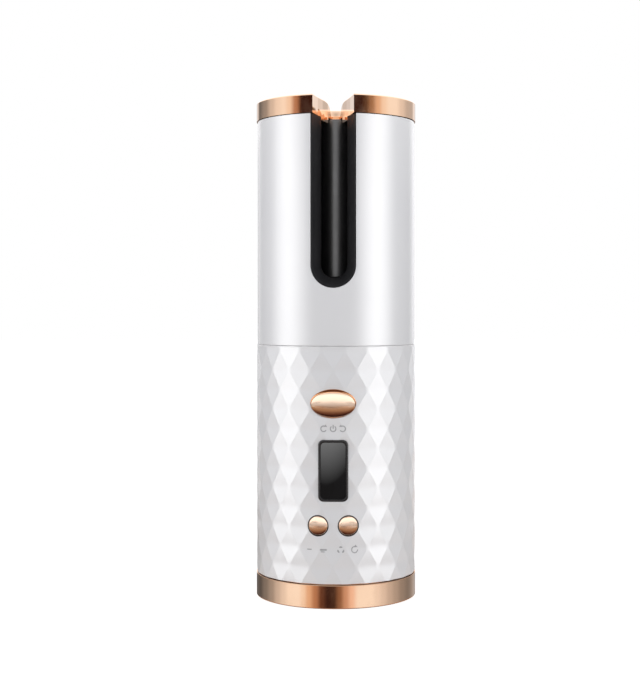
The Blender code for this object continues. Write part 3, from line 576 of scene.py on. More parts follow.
def rounded(corners: Sequence[Triple], closed: bool = False, steps: int = 5) -> list[Pair]:
    """Round the corners of a flat line.

    Args:
        corners: (x, y, corner radius) for each corner.
        closed: whether the last corner joins the first.
        steps: pieces in each rounded corner.

    Returns:
        The points of the rounded line.
    """
    count = len(corners)
    line: list[Pair] = []
    for i, (x, y, radius) in enumerate(corners):
        if radius == 0.0 or (not closed and i in (0, count - 1)):
            line.append((x, y))
            continue
        here = Vector((x, y))
        back = (Vector(corners[i - 1][:2]) - here).normalized()
        ahead = (Vector(corners[(i + 1) % count][:2]) - here).normalized()
        half = back.angle(ahead) / 2
        reach = radius / math.tan(half)
        centre = here + (back + ahead).normalized() * (radius / math.sin(half))
        start = here + back * reach - centre
        end = here + ahead * reach - centre
        swing = start.angle_signed(end)
        for step in range(steps + 1):
            a = -swing * step / steps
            turned = Vector((start.x * math.cos(a) - start.y * math.sin(a),
                             start.x * math.sin(a) + start.y * math.cos(a)))
            line.append(tuple(centre + turned))
    return line


def rounded_mm(corners: Sequence[Triple], closed: bool = False, steps: int = 5) -> list[Pair]:
    """The same, from corners in millimetres."""
    return [(x * MM, y * MM) for x, y in rounded(corners, closed, steps)]


def turns_round(count: int) -> list[float]:
    """Even steps round a full turn."""
    return [FULL_TURN * i / count for i in range(count)]


def held(line: Sequence[Pair], closed: bool, reach: float = 0.15 * MM) -> list[Pair]:
    """Add points close to the ends of long straight pieces, so that they shade flat.

    Args:
        line: the line.
        closed: whether it closes on itself.
        reach: how far from the ends the points are put.

    Returns:
        The line with the added points.
    """
    made: list[Pair] = []
    count = len(line)
    for i in range(count if closed else count - 1):
        start, end = Vector(line[i]), Vector(line[(i + 1) % count])
        made.append(line[i])
        length = (end - start).length
        if length > 4 * reach:
            made += [tuple(start.lerp(end, reach / length)), tuple(end.lerp(start, reach / length))]
    return made if closed else made + [line[-1]]


def lathe(profile: Sequence[Pair], steps: int = 192, closed: bool = False,
          centre: Pair = (0.0, 0.0)) -> Skin:
    """Turn a (radius, height) line about an upright axis.

    Args:
        profile: the line.
        steps: sides round the axis.
        closed: whether the line closes on itself, as a ring's does.
        centre: where the axis stands.

    Returns:
        The turned skin.
    """
    skin = Skin()
    skin.loft([[(centre[0] + radius * math.sin(a), centre[1] - radius * math.cos(a), height)
                for a in turns_round(steps)] for radius, height in held(profile, closed)],
              closed=closed)
    return skin


def on_round(radius: float, across: float, height: float) -> Triple:
    """A point on an upright cylinder, by its distance across the front and its height."""
    depth = math.sqrt(max(radius * radius - across * across, 0.0))
    return (across, -depth, height)


def at_angle(radius: float, angle: float, height: float) -> Triple:
    """A point on an upright cylinder; angle 0 is the front."""
    return (radius * math.sin(angle), -radius * math.cos(angle), height)


@dataclass
class Workshop:
    collection: bpy.types.Collection = field(default_factory=lambda: bpy.context.scene.collection)

    def show(self, mesh: bpy.types.Mesh, body: Body, finish: Finish,
             nodes: Sequence[str] = ()) -> bpy.types.Object:
        """Make a piece of a mesh.

        Args:
            mesh: the finished mesh, in its place.
            body: the body it rides on.
            finish: its finish.
            nodes: CAD nodes that it stands for.

        Returns:
            The piece.
        """
        mesh.materials.clear()
        mesh.materials.append(finish.material)
        piece = bpy.data.objects.new(mesh.name, mesh)
        self.collection.objects.link(piece)
        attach(piece, body.value)
        if nodes:
            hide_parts(*nodes)
        LOG.info("%s on %s: %d faces", mesh.name, body.value, len(mesh.polygons))
        return piece

    def carve(self, mesh: bpy.types.Mesh, cutters: Sequence[bpy.types.Mesh],
              sharp: float = 30.0) -> bpy.types.Mesh:
        """Cut closed meshes out of another.

        Args:
            mesh: the mesh to cut.
            cutters: what is taken away.
            sharp: edges steeper than this many degrees stay sharp.

        Returns:
            The cut mesh.
        """
        target = bpy.data.objects.new("carved", mesh)
        self.collection.objects.link(target)
        tools = []
        for cutter in cutters:
            tool = bpy.data.objects.new("cutter", cutter)
            self.collection.objects.link(tool)
            tools.append(tool)
            change = target.modifiers.new("cut", "BOOLEAN")
            change.operation = "DIFFERENCE"
            change.solver = "EXACT"
            change.object = tool
        bpy.context.view_layer.update()
        graph = bpy.context.evaluated_depsgraph_get()
        cut = bpy.data.meshes.new_from_object(target.evaluated_get(graph))
        cut.name = mesh.name
        for item in (target, *tools):
            bpy.data.objects.remove(item, do_unlink=True)
        return shaded(cut, sharp)


SHOP = Workshop()


def prism(name: str, outline: Sequence[Pair], near: float, far: float,
          swing: float = 0.0) -> bpy.types.Mesh:
    """A closed prism whose flat outline (across, height) faces the front.

    Args:
        name: the mesh's name.
        outline: its outline, in order.
        near: distance of the inner face from the axis.
        far: distance of the outer face from the axis.
        swing: angle round the axis.

    Returns:
        The mesh.
    """
    turn = Matrix.Rotation(swing, 3, "Z")
    skin = Skin()
    skin.loft([[tuple(turn @ Vector((x, -depth, z))) for x, z in outline] for depth in (near, far)],
              capped=True)
    return skin.mesh(name)


def oval(half_x: float, half_z: float, height: float, count: int = 96) -> list[Pair]:
    """Points round an oval at a height."""
    return [(half_x * math.cos(a), height + half_z * math.sin(a)) for a in turns_round(count)]


def soft_box(half_x: float, half_z: float, corner: float, height: float,
             steps: int = 8) -> list[Pair]:
    """Points round a rectangle with round corners at a height."""
    corners = [(half_x, half_z), (-half_x, half_z), (-half_x, -half_z), (half_x, -half_z)]
    return [(x, height + z) for x, z in rounded([(x, z, corner) for x, z in corners], True, steps)]


SOCKET_KINDS = {int: "NodeSocketInt", float: "NodeSocketFloat",
                bpy.types.Material: "NodeSocketMaterial",
                bpy.types.Object: "NodeSocketObject"}


class Growth(Graph):
    """A geometry tree whose inputs have names and values, run on an empty object."""

    def __init__(self, name: str, values: dict[str, object]) -> None:
        """Start the tree.

        Args:
            name: the name of the tree and of its mesh.
            values: its inputs, "Finish" among them.
        """
        super().__init__(bpy.data.node_groups.new(name, "GeometryNodeTree"))
        self.name, self.values = name, values
        for label, value in values.items():
            self.tree.interface.new_socket(name=label, in_out="INPUT",
                                           socket_type=SOCKET_KINDS[type(value)])
        self.tree.interface.new_socket(name="Geometry", in_out="OUTPUT",
                                       socket_type="NodeSocketGeometry")
        self.given = self.add("NodeGroupInput").outputs

    def position(self) -> bpy.types.NodeOutputs:
        """Where each point is, along each axis."""
        return self.add("ShaderNodeSeparateXYZ", {0: self.out("GeometryNodeInputPosition")}).outputs

    def spot(self, x: object, y: object, z: object = 0.0) -> bpy.types.NodeSocket:
        """A position made of its three numbers."""
        return self.out("ShaderNodeCombineXYZ", {0: x, 1: y, 2: z})

    def copies(self, count: bpy.types.NodeSocket, spot: bpy.types.NodeSocket,
               source: bpy.types.NodeSocket) -> bpy.types.NodeSocket:
        """Real copies of a geometry at numbered spots.

        Args:
            count: how many.
            spot: where the copy with each index goes.
            source: the geometry.

        Returns:
            The geometry of all the copies.
        """
        points = self.out("GeometryNodePoints", {"Count": count, "Position": spot})
        placed = self.out("GeometryNodeInstanceOnPoints", {"Points": points, "Instance": source})
        return self.out("GeometryNodeRealizeInstances", {0: placed})

    def mesh(self, geometry: bpy.types.NodeSocket) -> bpy.types.Mesh:
        """Give the geometry its finish, run the tree and keep a plain mesh.

        Args:
            geometry: the tree's result.

        Returns:
            The mesh.
        """
        feeds = {"Geometry": geometry, "Material": self.given["Finish"]}
        self.add("NodeGroupOutput", {0: self.out("GeometryNodeSetMaterial", feeds)})
        holder = bpy.data.objects.new(self.name, bpy.data.meshes.new(self.name))
        bpy.context.scene.collection.objects.link(holder)
        modifier = holder.modifiers.new("grow", "NODES")
        modifier.node_group = self.tree
        for item in self.tree.interface.items_tree:
            if item.in_out == "INPUT":
                modifier[item.identifier] = self.values[item.name]
        bpy.context.view_layer.update()
        depsgraph = bpy.context.evaluated_depsgraph_get()
        mesh = bpy.data.meshes.new_from_object(holder.evaluated_get(depsgraph))
        mesh.name = self.name
        bpy.data.objects.remove(holder, do_unlink=True)
        return mesh


# ---- shells -------------------------------------------------------------------
@dataclass
class FacetedHandle:
    """The white handle: rows of dished diamonds under a plain band."""

    ridge_radius: float = 31.3 * MM
    facets_round: int = 22
    row_pitch: float = 7.43 * MM
    first_row: float = 97.25 * MM
    rows: int = 14
    dish: float = 0.41 * MM
    softness: float = 0.32
    divisions: int = 10
    band_bottom: float = 98.55 * MM
    top: float = 98.98 * MM
    bottom: float = 9.6 * MM
    inner_radius: float = 28.6 * MM

    @property
    def column_angle(self) -> float:
        """Half a diamond, as an angle round the axis."""
        return math.pi / self.facets_round

    def radius_at(self, angle: float, height: float) -> float:
        """Radius of the outside at a place.

        Args:
            angle: angle from the front.
            height: height above the ground.

        Returns:
            The radius there.
        """
        column = angle / self.column_angle
        row = (self.first_row - height) / self.row_pitch
        along = (column + row) / 2
        across = (column - row) / 2
        p = 2 * (along - round(along))
        q = 2 * (across - round(across))
        crease = math.sqrt((p - q) ** 2 + self.softness ** 2 * (1 - p * p) * (1 - q * q))
        return self.ridge_radius - self.dish * (1 - p * q - crease)

    def lattice(self) -> bpy.types.Mesh:
        """Lay one dished diamond over a lattice and roll it round the axis, by geometry nodes."""
        growth = Growth("handle_lattice", {
            "Facets Round": self.facets_round, "Rows": self.rows, "Divisions": self.divisions,
            "Ridge Radius": self.ridge_radius, "Row Pitch": self.row_pitch,
            "First Row": self.first_row,
            "Dish": self.dish, "Softness": self.softness, "Finish": Finish.WHITE.material})
        given, calc = growth.given, growth.math
        index = growth.out("GeometryNodeInputIndex")
        row = calc("SUBTRACT", calc("FLOOR", calc("DIVIDE", index, given["Facets Round"])), 1.0)
        place = calc("MODULO", index, given["Facets Round"])
        stagger = calc("MODULO", calc("ADD", row, 2.0), 2.0)
        column = calc("ADD", calc("MULTIPLY", place, 2.0), stagger)
        flat = growth.copies(calc("MULTIPLY", given["Facets Round"], given["Rows"]),
                             growth.spot(column, calc("MULTIPLY", row, -1.0)),
                             self.one_facet(growth))
        rolled = self.wrap(growth, flat)
        return growth.mesh(growth.out("GeometryNodeMergeByDistance",
                                      {"Geometry": rolled, "Distance": WELD}))

    def one_facet(self, growth: Growth) -> bpy.types.NodeSocket:
        """One diamond as a grid turned by 45 degrees, with its dish depth stored.

        Args:
            growth: the tree.

        Returns:
            The diamond's geometry socket.
        """
        given, calc = growth.given, growth.math
        count = calc("ADD", given["Divisions"], 1.0)
        grid = growth.out("GeometryNodeMeshGrid", {"Vertices X": count, "Vertices Y": count})
        where = growth.position()
        p, q = (calc("MULTIPLY", where[axis], 2.0) for axis in (0, 1))
        gap = calc("SUBTRACT", p, q)
        soft = calc("MULTIPLY", given["Softness"], given["Softness"])
        for side in (p, q):
            soft = calc("MULTIPLY", soft, calc("SUBTRACT", 1.0, calc("MULTIPLY", side, side)))
        crease = calc("SQRT", calc("ADD", calc("MULTIPLY", gap, gap), soft))
        level = calc("SUBTRACT", calc("SUBTRACT", 1.0, calc("MULTIPLY", p, q)), crease)
        kept = growth.out("GeometryNodeStoreNamedAttribute", {
            "Geometry": grid, "Name": "dish_depth", "Value": calc("MULTIPLY", level,
                                                                  given["Dish"])},
            data_type="FLOAT", domain="POINT")
        turned = growth.spot(calc("ADD", where[0], where[1]), calc("SUBTRACT", where[1], where[0]))
        return growth.out("GeometryNodeSetPosition", {"Geometry": kept, "Position": turned})

    def wrap(self, growth: Growth, flat: bpy.types.NodeSocket) -> bpy.types.NodeSocket:
        """Roll the flat lattice round the axis.

        Args:
            growth: the tree.
            flat: the flat lattice.

        Returns:
            The rolled geometry socket.
        """
        given, calc = growth.given, growth.math
        where = growth.position()
        depth = growth.out("GeometryNodeInputNamedAttribute", {"Name": "dish_depth"},
                           data_type="FLOAT")
        angle = calc("MULTIPLY", where[0], calc("DIVIDE", math.pi, given["Facets Round"]))
        radius = calc("SUBTRACT", given["Ridge Radius"], depth)
        back = calc("MULTIPLY", radius, calc("COSINE", angle))
        rise = calc("ADD", given["First Row"], calc("MULTIPLY", where[1], given["Row Pitch"]))
        rolled = growth.spot(calc("MULTIPLY", radius, calc("SINE", angle)),
                             calc("MULTIPLY", back, -1.0), rise)
        return growth.out("GeometryNodeSetPosition", {"Geometry": flat, "Position": rolled})

    def build(self, controls: Sequence[bpy.types.Mesh]) -> None:
        """Make the handle.

        Args:
            controls: what is cut out for the display and the buttons.
        """
        work = bmesh.new()
        work.from_mesh(self.lattice())
        for height, outwards in ((self.band_bottom, 1.0), (self.bottom, -1.0)):
            bmesh.ops.bisect_plane(work, geom=[*work.verts, *work.edges, *work.faces],
                                   plane_co=(0.0, 0.0, height), plane_no=(0.0, 0.0, outwards),
                                   clear_outer=True, dist=0.000001)
        edge = 0.12 * MM
        top_steps = ((self.ridge_radius - 0.1 * MM, self.band_bottom + 0.1 * MM),
                     (self.ridge_radius - 0.1 * MM, self.top - edge),
                     (self.ridge_radius - 0.1 * MM - 0.3 * edge, self.top - 0.3 * edge),
                     (self.ridge_radius - 0.1 * MM - edge, self.top), (self.inner_radius, self.top),
                     (self.inner_radius, self.top - 3 * MM))
        bottom_steps = ((self.inner_radius, self.bottom), (self.inner_radius, self.bottom + 3 * MM))
        rims = []
        for height, steps in ((self.band_bottom, top_steps), (self.bottom, bottom_steps)):
            rim = [e for e in work.edges if e.is_boundary
                   and all(abs(v.co.z - height) < 0.0001 * MM + 1e-7 for v in e.verts)]
            for radius, level in steps:
                rim = self.extend(work, rim, radius, level)
            rims.append(rim)
        bmesh.ops.bridge_loops(work, edges=rims[0] + rims[1])
        bmesh.ops.triangulate(work, faces=[f for f in work.faces if len(f.verts) > 4])
        bmesh.ops.recalc_face_normals(work, faces=work.faces)
        mesh = bpy.data.meshes.new("handle_shell_moulded")
        work.to_mesh(mesh)
        work.free()
        mesh = SHOP.carve(mesh, controls, 9.0)
        SHOP.show(mesh, Body.HOUSING, Finish.WHITE, ["handle_shell"])

    @staticmethod
    def extend(work: bmesh.types.BMesh, rim: list, radius: float, level: float) -> list:
        """Extrude a rim to another radius and height.

        Args:
            work: the mesh.
            rim: the rim's edges.
            radius: the new radius.
            level: the new height.

        Returns:
            The new rim's edges.
        """
        made = bmesh.ops.extrude_edge_only(work, edges=rim)["geom"]
        for vert in (g for g in made if isinstance(g, bmesh.types.BMVert)):
            flat = Vector((vert.co.x, vert.co.y)).normalized() * radius
            vert.co = (flat.x, flat.y, level)
        return [g for g in made if isinstance(g, bmesh.types.BMEdge)]


@dataclass
class SlottedTube:
    """An upright tube with a round-bottomed slot down its front, open at the top."""

    name: str
    outer: float
    inner: float
    bottom: float
    top: float
    slot_half: float
    slot_bottom: float
    edge: float = 0.35 * MM
    rim_edge: float = 0.12 * MM
    straight: int = 24
    bend: int = 48
    spread: int = 72

    def stations(self, slot_half: float, radius: float, low: float) -> list[tuple[Pair, Pair]]:
        """Pairs of ends: on the slot's outline and on the back seam or the bottom rim.

        Args:
            slot_half: half width of the outline.
            radius: radius of the sheet.
            low: lowest height of the sheet.

        Returns:
            ((across, height), (angle, height)) from the top left round to the top right.
        """
        centre = self.slot_bottom + self.slot_half
        left = []
        for i in range(self.straight):
            height = self.top + (centre - self.top) * i / self.straight
            left.append(((-slot_half, height), (-math.pi, height)))
        seam = centre - low
        length = seam + math.pi * radius
        corner = round(self.bend * seam / length)
        for j in range(self.bend + 1):
            a = math.pi * (1.0 + 0.5 * j / self.bend)
            near = (slot_half * math.cos(a), centre + slot_half * math.sin(a))
            if j <= corner:
                far = (-math.pi, centre - seam * j / corner)
            else:
                far = (-math.pi * (1.0 - (j - corner) / (self.bend - corner)), low)
            left.append((near, far))
        right = [((-x, z), (-a, h)) for (x, z), (a, h) in reversed(left[:-1])]
        return left + right

    def sheet(self, radius: float, slot_half: float, low: float) -> list[list[Triple]]:
        """Points of one wall, by station and by step away from the slot."""
        rows = []
        for (x, z), (angle, height) in self.stations(slot_half, radius, low):
            start = math.asin(x / radius)
            row = []
            for k in range(self.spread + 1):
                t = k / self.spread
                row.append(at_angle(radius, start + (angle - start) * t, z + (height - z) * t))
            rows.append(row)
        return rows

    def skin(self) -> Skin:
        """The whole tube: both walls, the slot's edge and the rims."""
        skin = Skin()
        outer_rows = self.sheet(self.outer, self.slot_half + self.edge, self.bottom + self.rim_edge)
        inner_rows = self.sheet(self.inner, self.slot_half, self.bottom)
        turns = [QUARTER_TURN * k / 4 for k in range(1, 5)]
        folds = [(self.edge * (1 - math.sin(a)), self.edge * (1 - math.cos(a))) for a in turns]
        fold_rows = []
        for gap, depth in folds:
            ends = self.stations(self.slot_half + gap, self.outer, self.bottom)
            fold_rows.append([on_round(self.outer - depth, x, z) for (x, z), _ in ends])
        outer = [skin.row(row) for row in outer_rows]
        inner = [skin.row(row) for row in inner_rows]
        fold = [skin.row(row) for row in fold_rows]
        count = len(outer)
        for s in range(count - 1):
            skin.strip(outer[s], outer[s + 1])
            skin.strip(inner[s], inner[s + 1])
        first_ring = [row[0] for row in outer]
        last_ring = [row[0] for row in inner]
        rings = [first_ring, *fold, last_ring]
        for here, there in zip(rings, rings[1:]):
            skin.strip(here, there)
        for s in (0, count - 1):
            skin.face([ring[s] for ring in rings])
            skin.strip(outer[s], inner[s])
        self.bottom_rim(skin, outer, inner)
        return skin

    def bottom_rim(self, skin: Skin, outer: list[list[int]], inner: list[list[int]]) -> None:
        """Close the tube's lower edge with a rounded rim.

        Args:
            skin: the skin to add to.
            outer: point numbers of the outer wall.
            inner: point numbers of the inner wall.
        """
        ends = self.stations(self.slot_half, self.outer, self.bottom)
        low = [s for s, (_, (_, height)) in enumerate(ends) if abs(height - self.bottom) < 1e-9]
        rings = [[outer[s][-1] for s in low]]
        for k in range(1, 4):
            a = QUARTER_TURN * k / 3
            radius = self.outer - self.rim_edge * (1 - math.cos(a))
            height = self.bottom + self.rim_edge * (1 - math.sin(a))
            rings.append(skin.row([at_angle(radius, ends[s][1][0], height) for s in low]))
        rings.append([inner[s][-1] for s in low])
        for here, there in zip(rings, rings[1:]):
            skin.strip(here, there)

    def build(self, body: Body, finish: Finish, slot: str, nodes: Sequence[str]) -> None:
        """Show the tube.

        Args:
            body: the body it rides on.
            finish: its finish.
            slot: not used.
            nodes: CAD nodes that it stands for.
        """
        SHOP.show(self.skin().mesh(self.name), body, finish, nodes)


@dataclass
class TopCap:
    """The plated cap: a shallow dish round a small well, with the hair notch cut in."""

    radius: float = 31.5 * MM
    bottom: float = 187.0 * MM
    top: float = 194.0 * MM
    edge: float = 0.3 * MM
    notch_edge: float = 0.14 * MM
    columns: int = 220
    notch_plan: tuple[Pair, ...] = ((34.0, 8.54), (30.5, 7.8), (22.0, 6.2), (15.0, 4.6), (8.5, 2.9),
                                    (4.0, 2.0))
    notch_end: float = 2.0 * MM
    recess_radius: float = 8.2 * MM
    recess_top: float = 188.1 * MM
    hub_radius: float = 18.1 * MM
    hub_bottom: float = 185.8 * MM
    well_floor: float = 189.3 * MM

    def notch_half(self, distance: float) -> float:
        """Half width of the notch at a distance in front of the axis."""
        plan = [(d * MM, half * MM) for d, half in self.notch_plan]
        inner_distance, inner_half = plan[-1]
        if distance <= inner_distance:
            drop = inner_distance - distance
            return math.sqrt(max(inner_half * inner_half - drop * drop, 0.0))
        for (far, far_half), (near, near_half) in zip(plan, plan[1:]):
            if near <= distance <= far:
                share = (distance - near) / (far - near)
                return near_half + (far_half - near_half) * share
        return plan[0][1]

    def notch_angle(self, radius: float) -> float:
        """Angle from the front at which a circle meets the notch's wall."""
        low, high = 0.0, math.radians(60.0)
        for _ in range(40):
            middle = (low + high) / 2
            inside = radius * math.sin(middle) < self.notch_half(radius * math.cos(middle))
            low, high = (middle, high) if inside else (low, middle)
        return low

    def section(self) -> list[Triple]:
        """The cap's section as (radius, top height, underside height), from the notch's end out."""
        line = rounded_mm([(self.notch_end / MM, self.well_floor / MM, 0.0),
                           (3.5, self.well_floor / MM, 0.2),
                        (5.0, 191.4, 0.6), (6.5, 192.6, 2.0), (9.5, 193.6, 6.0),
                           (13.0, 194.0, 14.0),
                        (self.radius / MM - 0.9, 194.0, 0.0)], False, 6)
        filled = [line[0]]
        for (r0, z0), (r1, z1) in zip(line, line[1:]):
            pieces = max(1, math.ceil((r1 - r0) / (0.8 * MM)))
            filled += [(r0 + (r1 - r0) * i / pieces, z0 + (z1 - z0) * i / pieces)
                       for i in range(1, pieces + 1)]
        for k in range(7):
            a = QUARTER_TURN * k / 6
            filled.append((self.radius - self.edge * (1 - math.sin(a)),
                           self.top - self.edge * (1 - math.cos(a))))
        filled.append((self.radius, self.top - 1.5 * self.edge))
        for step in (self.recess_radius, self.hub_radius):
            at = min(i for i, (r, _) in enumerate(filled) if r > step)
            (r0, z0), (r1, z1) = filled[at - 1], filled[at]
            for r in (step + 0.02 * MM, step):
                filled.insert(at, (r, z0 + (z1 - z0) * (r - r0) / (r1 - r0)))
        return [(r, z, self.underside(r)) for r, z in filled]

    def underside(self, radius: float) -> float:
        """Height of the underside: a recess over the barrel, a hub round it and a flat rim."""
        if radius <= self.recess_radius:
            return self.recess_top
        return self.hub_bottom if radius <= self.hub_radius else self.bottom

    def loop(self, radius: float, top: float, low: float) -> tuple[list[Triple], list[Triple]]:
        """Points round the cap at one radius, over the top and along the underside."""
        start = self.notch_angle(radius)
        soft = min(self.notch_edge / radius, 0.4)
        inset = 0.3 * soft
        shares = [(start, top - 2 * self.notch_edge), (start, top - self.notch_edge),
                  (start + inset, top - 0.3 * self.notch_edge), (start + soft, top)]
        first, last = start + soft, FULL_TURN - start - soft
        middle = [(first + (last - first) * i / self.columns, top) for i in range(1, self.columns)]
        mirrored = [(FULL_TURN - a, z) for a, z in reversed(shares)]
        over = [at_angle(radius, a, z) for a, z in shares + middle + mirrored]
        under = [at_angle(radius, a, low) for a, _ in shares + middle + mirrored]
        return over, under

    def build(self) -> None:
        """Make the cap."""
        skin = Skin()
        section = self.section()
        tops, lows = [], []
        for radius, top, low in section:
            over, under = self.loop(max(radius, self.notch_end), top, low)
            tops.append(skin.row(over))
            lows.append(skin.row(under))
        for k in range(len(section) - 1):
            skin.strip(tops[k], tops[k + 1])
            skin.strip(lows[k], lows[k + 1])
            for side in (0, -1):
                skin.face((tops[k][side], tops[k + 1][side], lows[k + 1][side], lows[k][side]))
        skin.strip(tops[-1], lows[-1])
        for rows, height in ((tops, self.well_floor), (lows, self.recess_top)):
            centre = skin.row([(0.0, 0.0, height)])[0]
            first = rows[0]
            for i in range(len(first) - 1):
                skin.face((first[i], first[i + 1], centre))
        mesh = skin.mesh("top_cap_plated", 24.0)
        SHOP.show(mesh, Body.HOUSING, Finish.ROSE_GOLD, ["top_cap"])


@dataclass
class BaseCap:
    """The plated cup at the bottom with its rubber ring, screws and charging inlet."""

    radius: float = 31.5 * MM
    top: float = 9.1 * MM
    low: float = 0.3 * MM
    screw_circle: float = 17.5 * MM
    screw_angles: tuple[float, ...] = (30.0, 150.0, 270.0)
    port_half: Pair = (4.47 * MM, 1.63 * MM)

    def screw_places(self) -> list[Pair]:
        """Centres of the screws."""
        turns = [math.radians(a) for a in self.screw_angles]
        return [(self.screw_circle * math.cos(a), self.screw_circle * math.sin(a)) for a in turns]

    def build_cup(self) -> None:
        """The cup, with sunk screw holes and the inlet's slot."""
        groove = self.low + 0.8 * MM
        corners = [(0.0, 2.6, 0.0), (26.0, 2.6, 0.3), (26.0, 11.0, 0.3), (28.1, 11.0, 0.4),
                   (28.1, self.top / MM, 0.0), (31.5, self.top / MM, 0.05), (31.5, 0.3, 0.2),
                   (28.8, 0.3, 0.12), (28.8, groove / MM, 0.0), (21.7, groove / MM, 0.0),
                   (21.7, 0.3, 0.12), (0.0, 0.3, 0.0)]
        cup = lathe(rounded_mm(corners, False, 6), 224).mesh("base_cap_plated")
        cutters = []
        for place in self.screw_places():
            sink = [(0.0, 1.7 * MM), (2.9 * MM, 1.7 * MM), (2.9 * MM, 0.55 * MM),
                    (3.3 * MM, -0.5 * MM),
                    (0.0, -0.5 * MM)]
            cutters.append(lathe(sink, 48, centre=place).mesh("sink"))
        half_x, half_y = (side + 0.3 * MM for side in self.port_half)
        for grow, high in ((0.0, 6.0 * MM), (0.35 * MM, 0.5 * MM)):
            cutters.append(standing_prism("slot", soft_box(half_x + grow, half_y + grow,
                                                           half_y + grow - 0.01 * MM,
                                                           0.0), -1.0 * MM, high))
        cup = SHOP.carve(cup, cutters)
        SHOP.show(cup, Body.HOUSING, Finish.ROSE_GOLD, ["base_cap"])

    def build_foot(self) -> None:
        """The rubber ring, grooved so that it grips."""
        corners = [(28.5, 0.8, 0.1), (28.5, 0.0, 0.18)]
        for radius in (27.2, 25.8, 24.4):
            corners += [(radius, 0.0, 0.08), (radius - 0.2, 0.22, 0.08), (radius - 0.5, 0.22, 0.08),
                        (radius - 0.7, 0.0, 0.08)]
        corners += [(22.0, 0.0, 0.18), (22.0, 0.8, 0.1)]
        mesh = lathe(rounded_mm(corners, True, 3), 160, closed=True).mesh("foot_ring_rubber")
        SHOP.show(mesh, Body.HOUSING, Finish.RUBBER, ["foot_ring"])

    def build_screws(self) -> None:
        """Three cross-head screws, set by geometry nodes on the bolt circle."""
        screw = CrossScrew(head_radius=2.5 * MM, head_face=0.5 * MM, head_back=1.4 * MM,
                           shank_radius=1.1 * MM, tip=10.2 * MM).mesh()
        mesh = copies_on_circle("base_screws_steel", screw, self.screw_circle, self.screw_angles,
                                Finish.STEEL)
        SHOP.show(mesh, Body.HOUSING, Finish.STEEL,
                  ["base_screw_1", "base_screw_2", "base_screw_3"])

    def build_port(self) -> None:
        """The inlet: a drawn shell round a tongue with its contacts."""
        half_x, half_y = self.port_half
        skin, rings = Skin(), []
        for inset, height in ((0.0, 8.0), (0.0, 0.75), (0.08, 0.6), (0.27, 0.6), (0.35, 0.75),
                              (0.35, 6.4)):
            outline = soft_box(half_x - inset * MM, half_y - inset * MM,
                               half_y - inset * MM - 0.01 * MM, 0.0)
            rings.append([(x, y, height * MM) for x, y in outline])
        skin.loft(rings, capped=True)
        SHOP.show(skin.mesh("charge_port_shell"), Body.HOUSING, Finish.STEEL,
                  ["charge_port"])
        tongue = standing_prism("charge_port_tongue", soft_box(3.3 * MM, 0.35 * MM, 0.2 * MM, 0.0,
                                                               3),
                                1.4 * MM, 6.35 * MM)
        SHOP.show(tongue, Body.HOUSING, Finish.BLACK)

    def build(self) -> None:
        """Make the base."""
        self.build_cup()
        self.build_foot()
        self.build_screws()
        self.build_port()


def standing_prism(name: str, outline: Sequence[Pair], low: float, high: float) -> bpy.types.Mesh:
    """A closed prism that stands on its flat outline (x, y)."""
    skin = Skin()
    skin.loft([[(x, y, z) for x, y in outline] for z in (low, high)], capped=True)
    return skin.mesh(name)


@dataclass
class CrossScrew:
    """A pan-head screw on its own axis, head down, with a cross recess and a thread."""

    head_radius: float
    head_face: float
    head_back: float
    shank_radius: float
    tip: float
    thread_pitch: float = 0.8 * MM

    def mesh(self) -> bpy.types.Mesh:
        """Make the screw."""
        face, back, radius = self.head_face / MM, self.head_back / MM, self.head_radius / MM
        shank, tip = self.shank_radius / MM, self.tip / MM
        corners = [(0.0, tip, 0.0), (shank * 0.5, tip, 0.15)]
        turns = int((tip - back) / (self.thread_pitch / MM)) - 1
        for turn in range(turns):
            height = tip - 0.5 - turn * self.thread_pitch / MM
            corners += [(shank * 0.82, height, 0.0), (shank, height - 0.3, 0.04)]
        corners += [(shank * 0.9, back + 0.3, 0.1), (shank, back, 0.0), (radius, back, 0.1),
                    (radius, face + 0.35, 0.3), (radius * 0.7, face, 0.6), (0.0, face, 0.0)]
        body = lathe(rounded_mm(corners, False, 3), 40).mesh("screw")
        arms = []
        for turn in (0.0, math.pi / 2):
            wide, thin = 0.62 * self.head_radius, 0.13 * self.head_radius
            flat = [(-wide, -thin), (wide, -thin), (wide, thin), (-wide, thin)]
            spun = [(x * math.cos(turn) - y * math.sin(turn),
                     x * math.sin(turn) + y * math.cos(turn))
                    for x, y in flat]
            arms.append(standing_prism("arm", spun, self.head_face - 1.0 * MM,
                                       self.head_face + 0.6 * MM))
        return SHOP.carve(body, arms)


def copies_on_circle(name: str, mesh: bpy.types.Mesh, radius: float, angles: Sequence[float],
                     finish: Finish) -> bpy.types.Mesh:
    """Copies of a mesh set on a circle by geometry nodes.

    Args:
        name: the result's name.
        mesh: what is copied.
        radius: the circle's radius.
        angles: first angle in degrees, then the others at even steps.
        finish: the finish of the copies.

    Returns:
        One plain mesh of all the copies.
    """
    source = bpy.data.objects.new(name + "_source", mesh)
    bpy.context.scene.collection.objects.link(source)
    growth = Growth(name, {"Source": source, "Count": len(angles), "Radius": radius,
                           "First Angle": math.radians(angles[0]), "Finish": finish.material})
    given, calc = growth.given, growth.math
    share = calc("DIVIDE", growth.out("GeometryNodeInputIndex"), given["Count"])
    angle = calc("ADD", calc("MULTIPLY", share, FULL_TURN), given["First Angle"])
    spot = growth.spot(*(calc("MULTIPLY", given["Radius"], calc(way, angle)) for way in ("COSINE",
                                                                                         "SINE")))
    info = growth.add("GeometryNodeObjectInfo", {"Object": given["Source"]})
    made = growth.mesh(growth.copies(given["Count"], spot, info.outputs["Geometry"]))
    bpy.data.objects.remove(source, do_unlink=True)
    return made


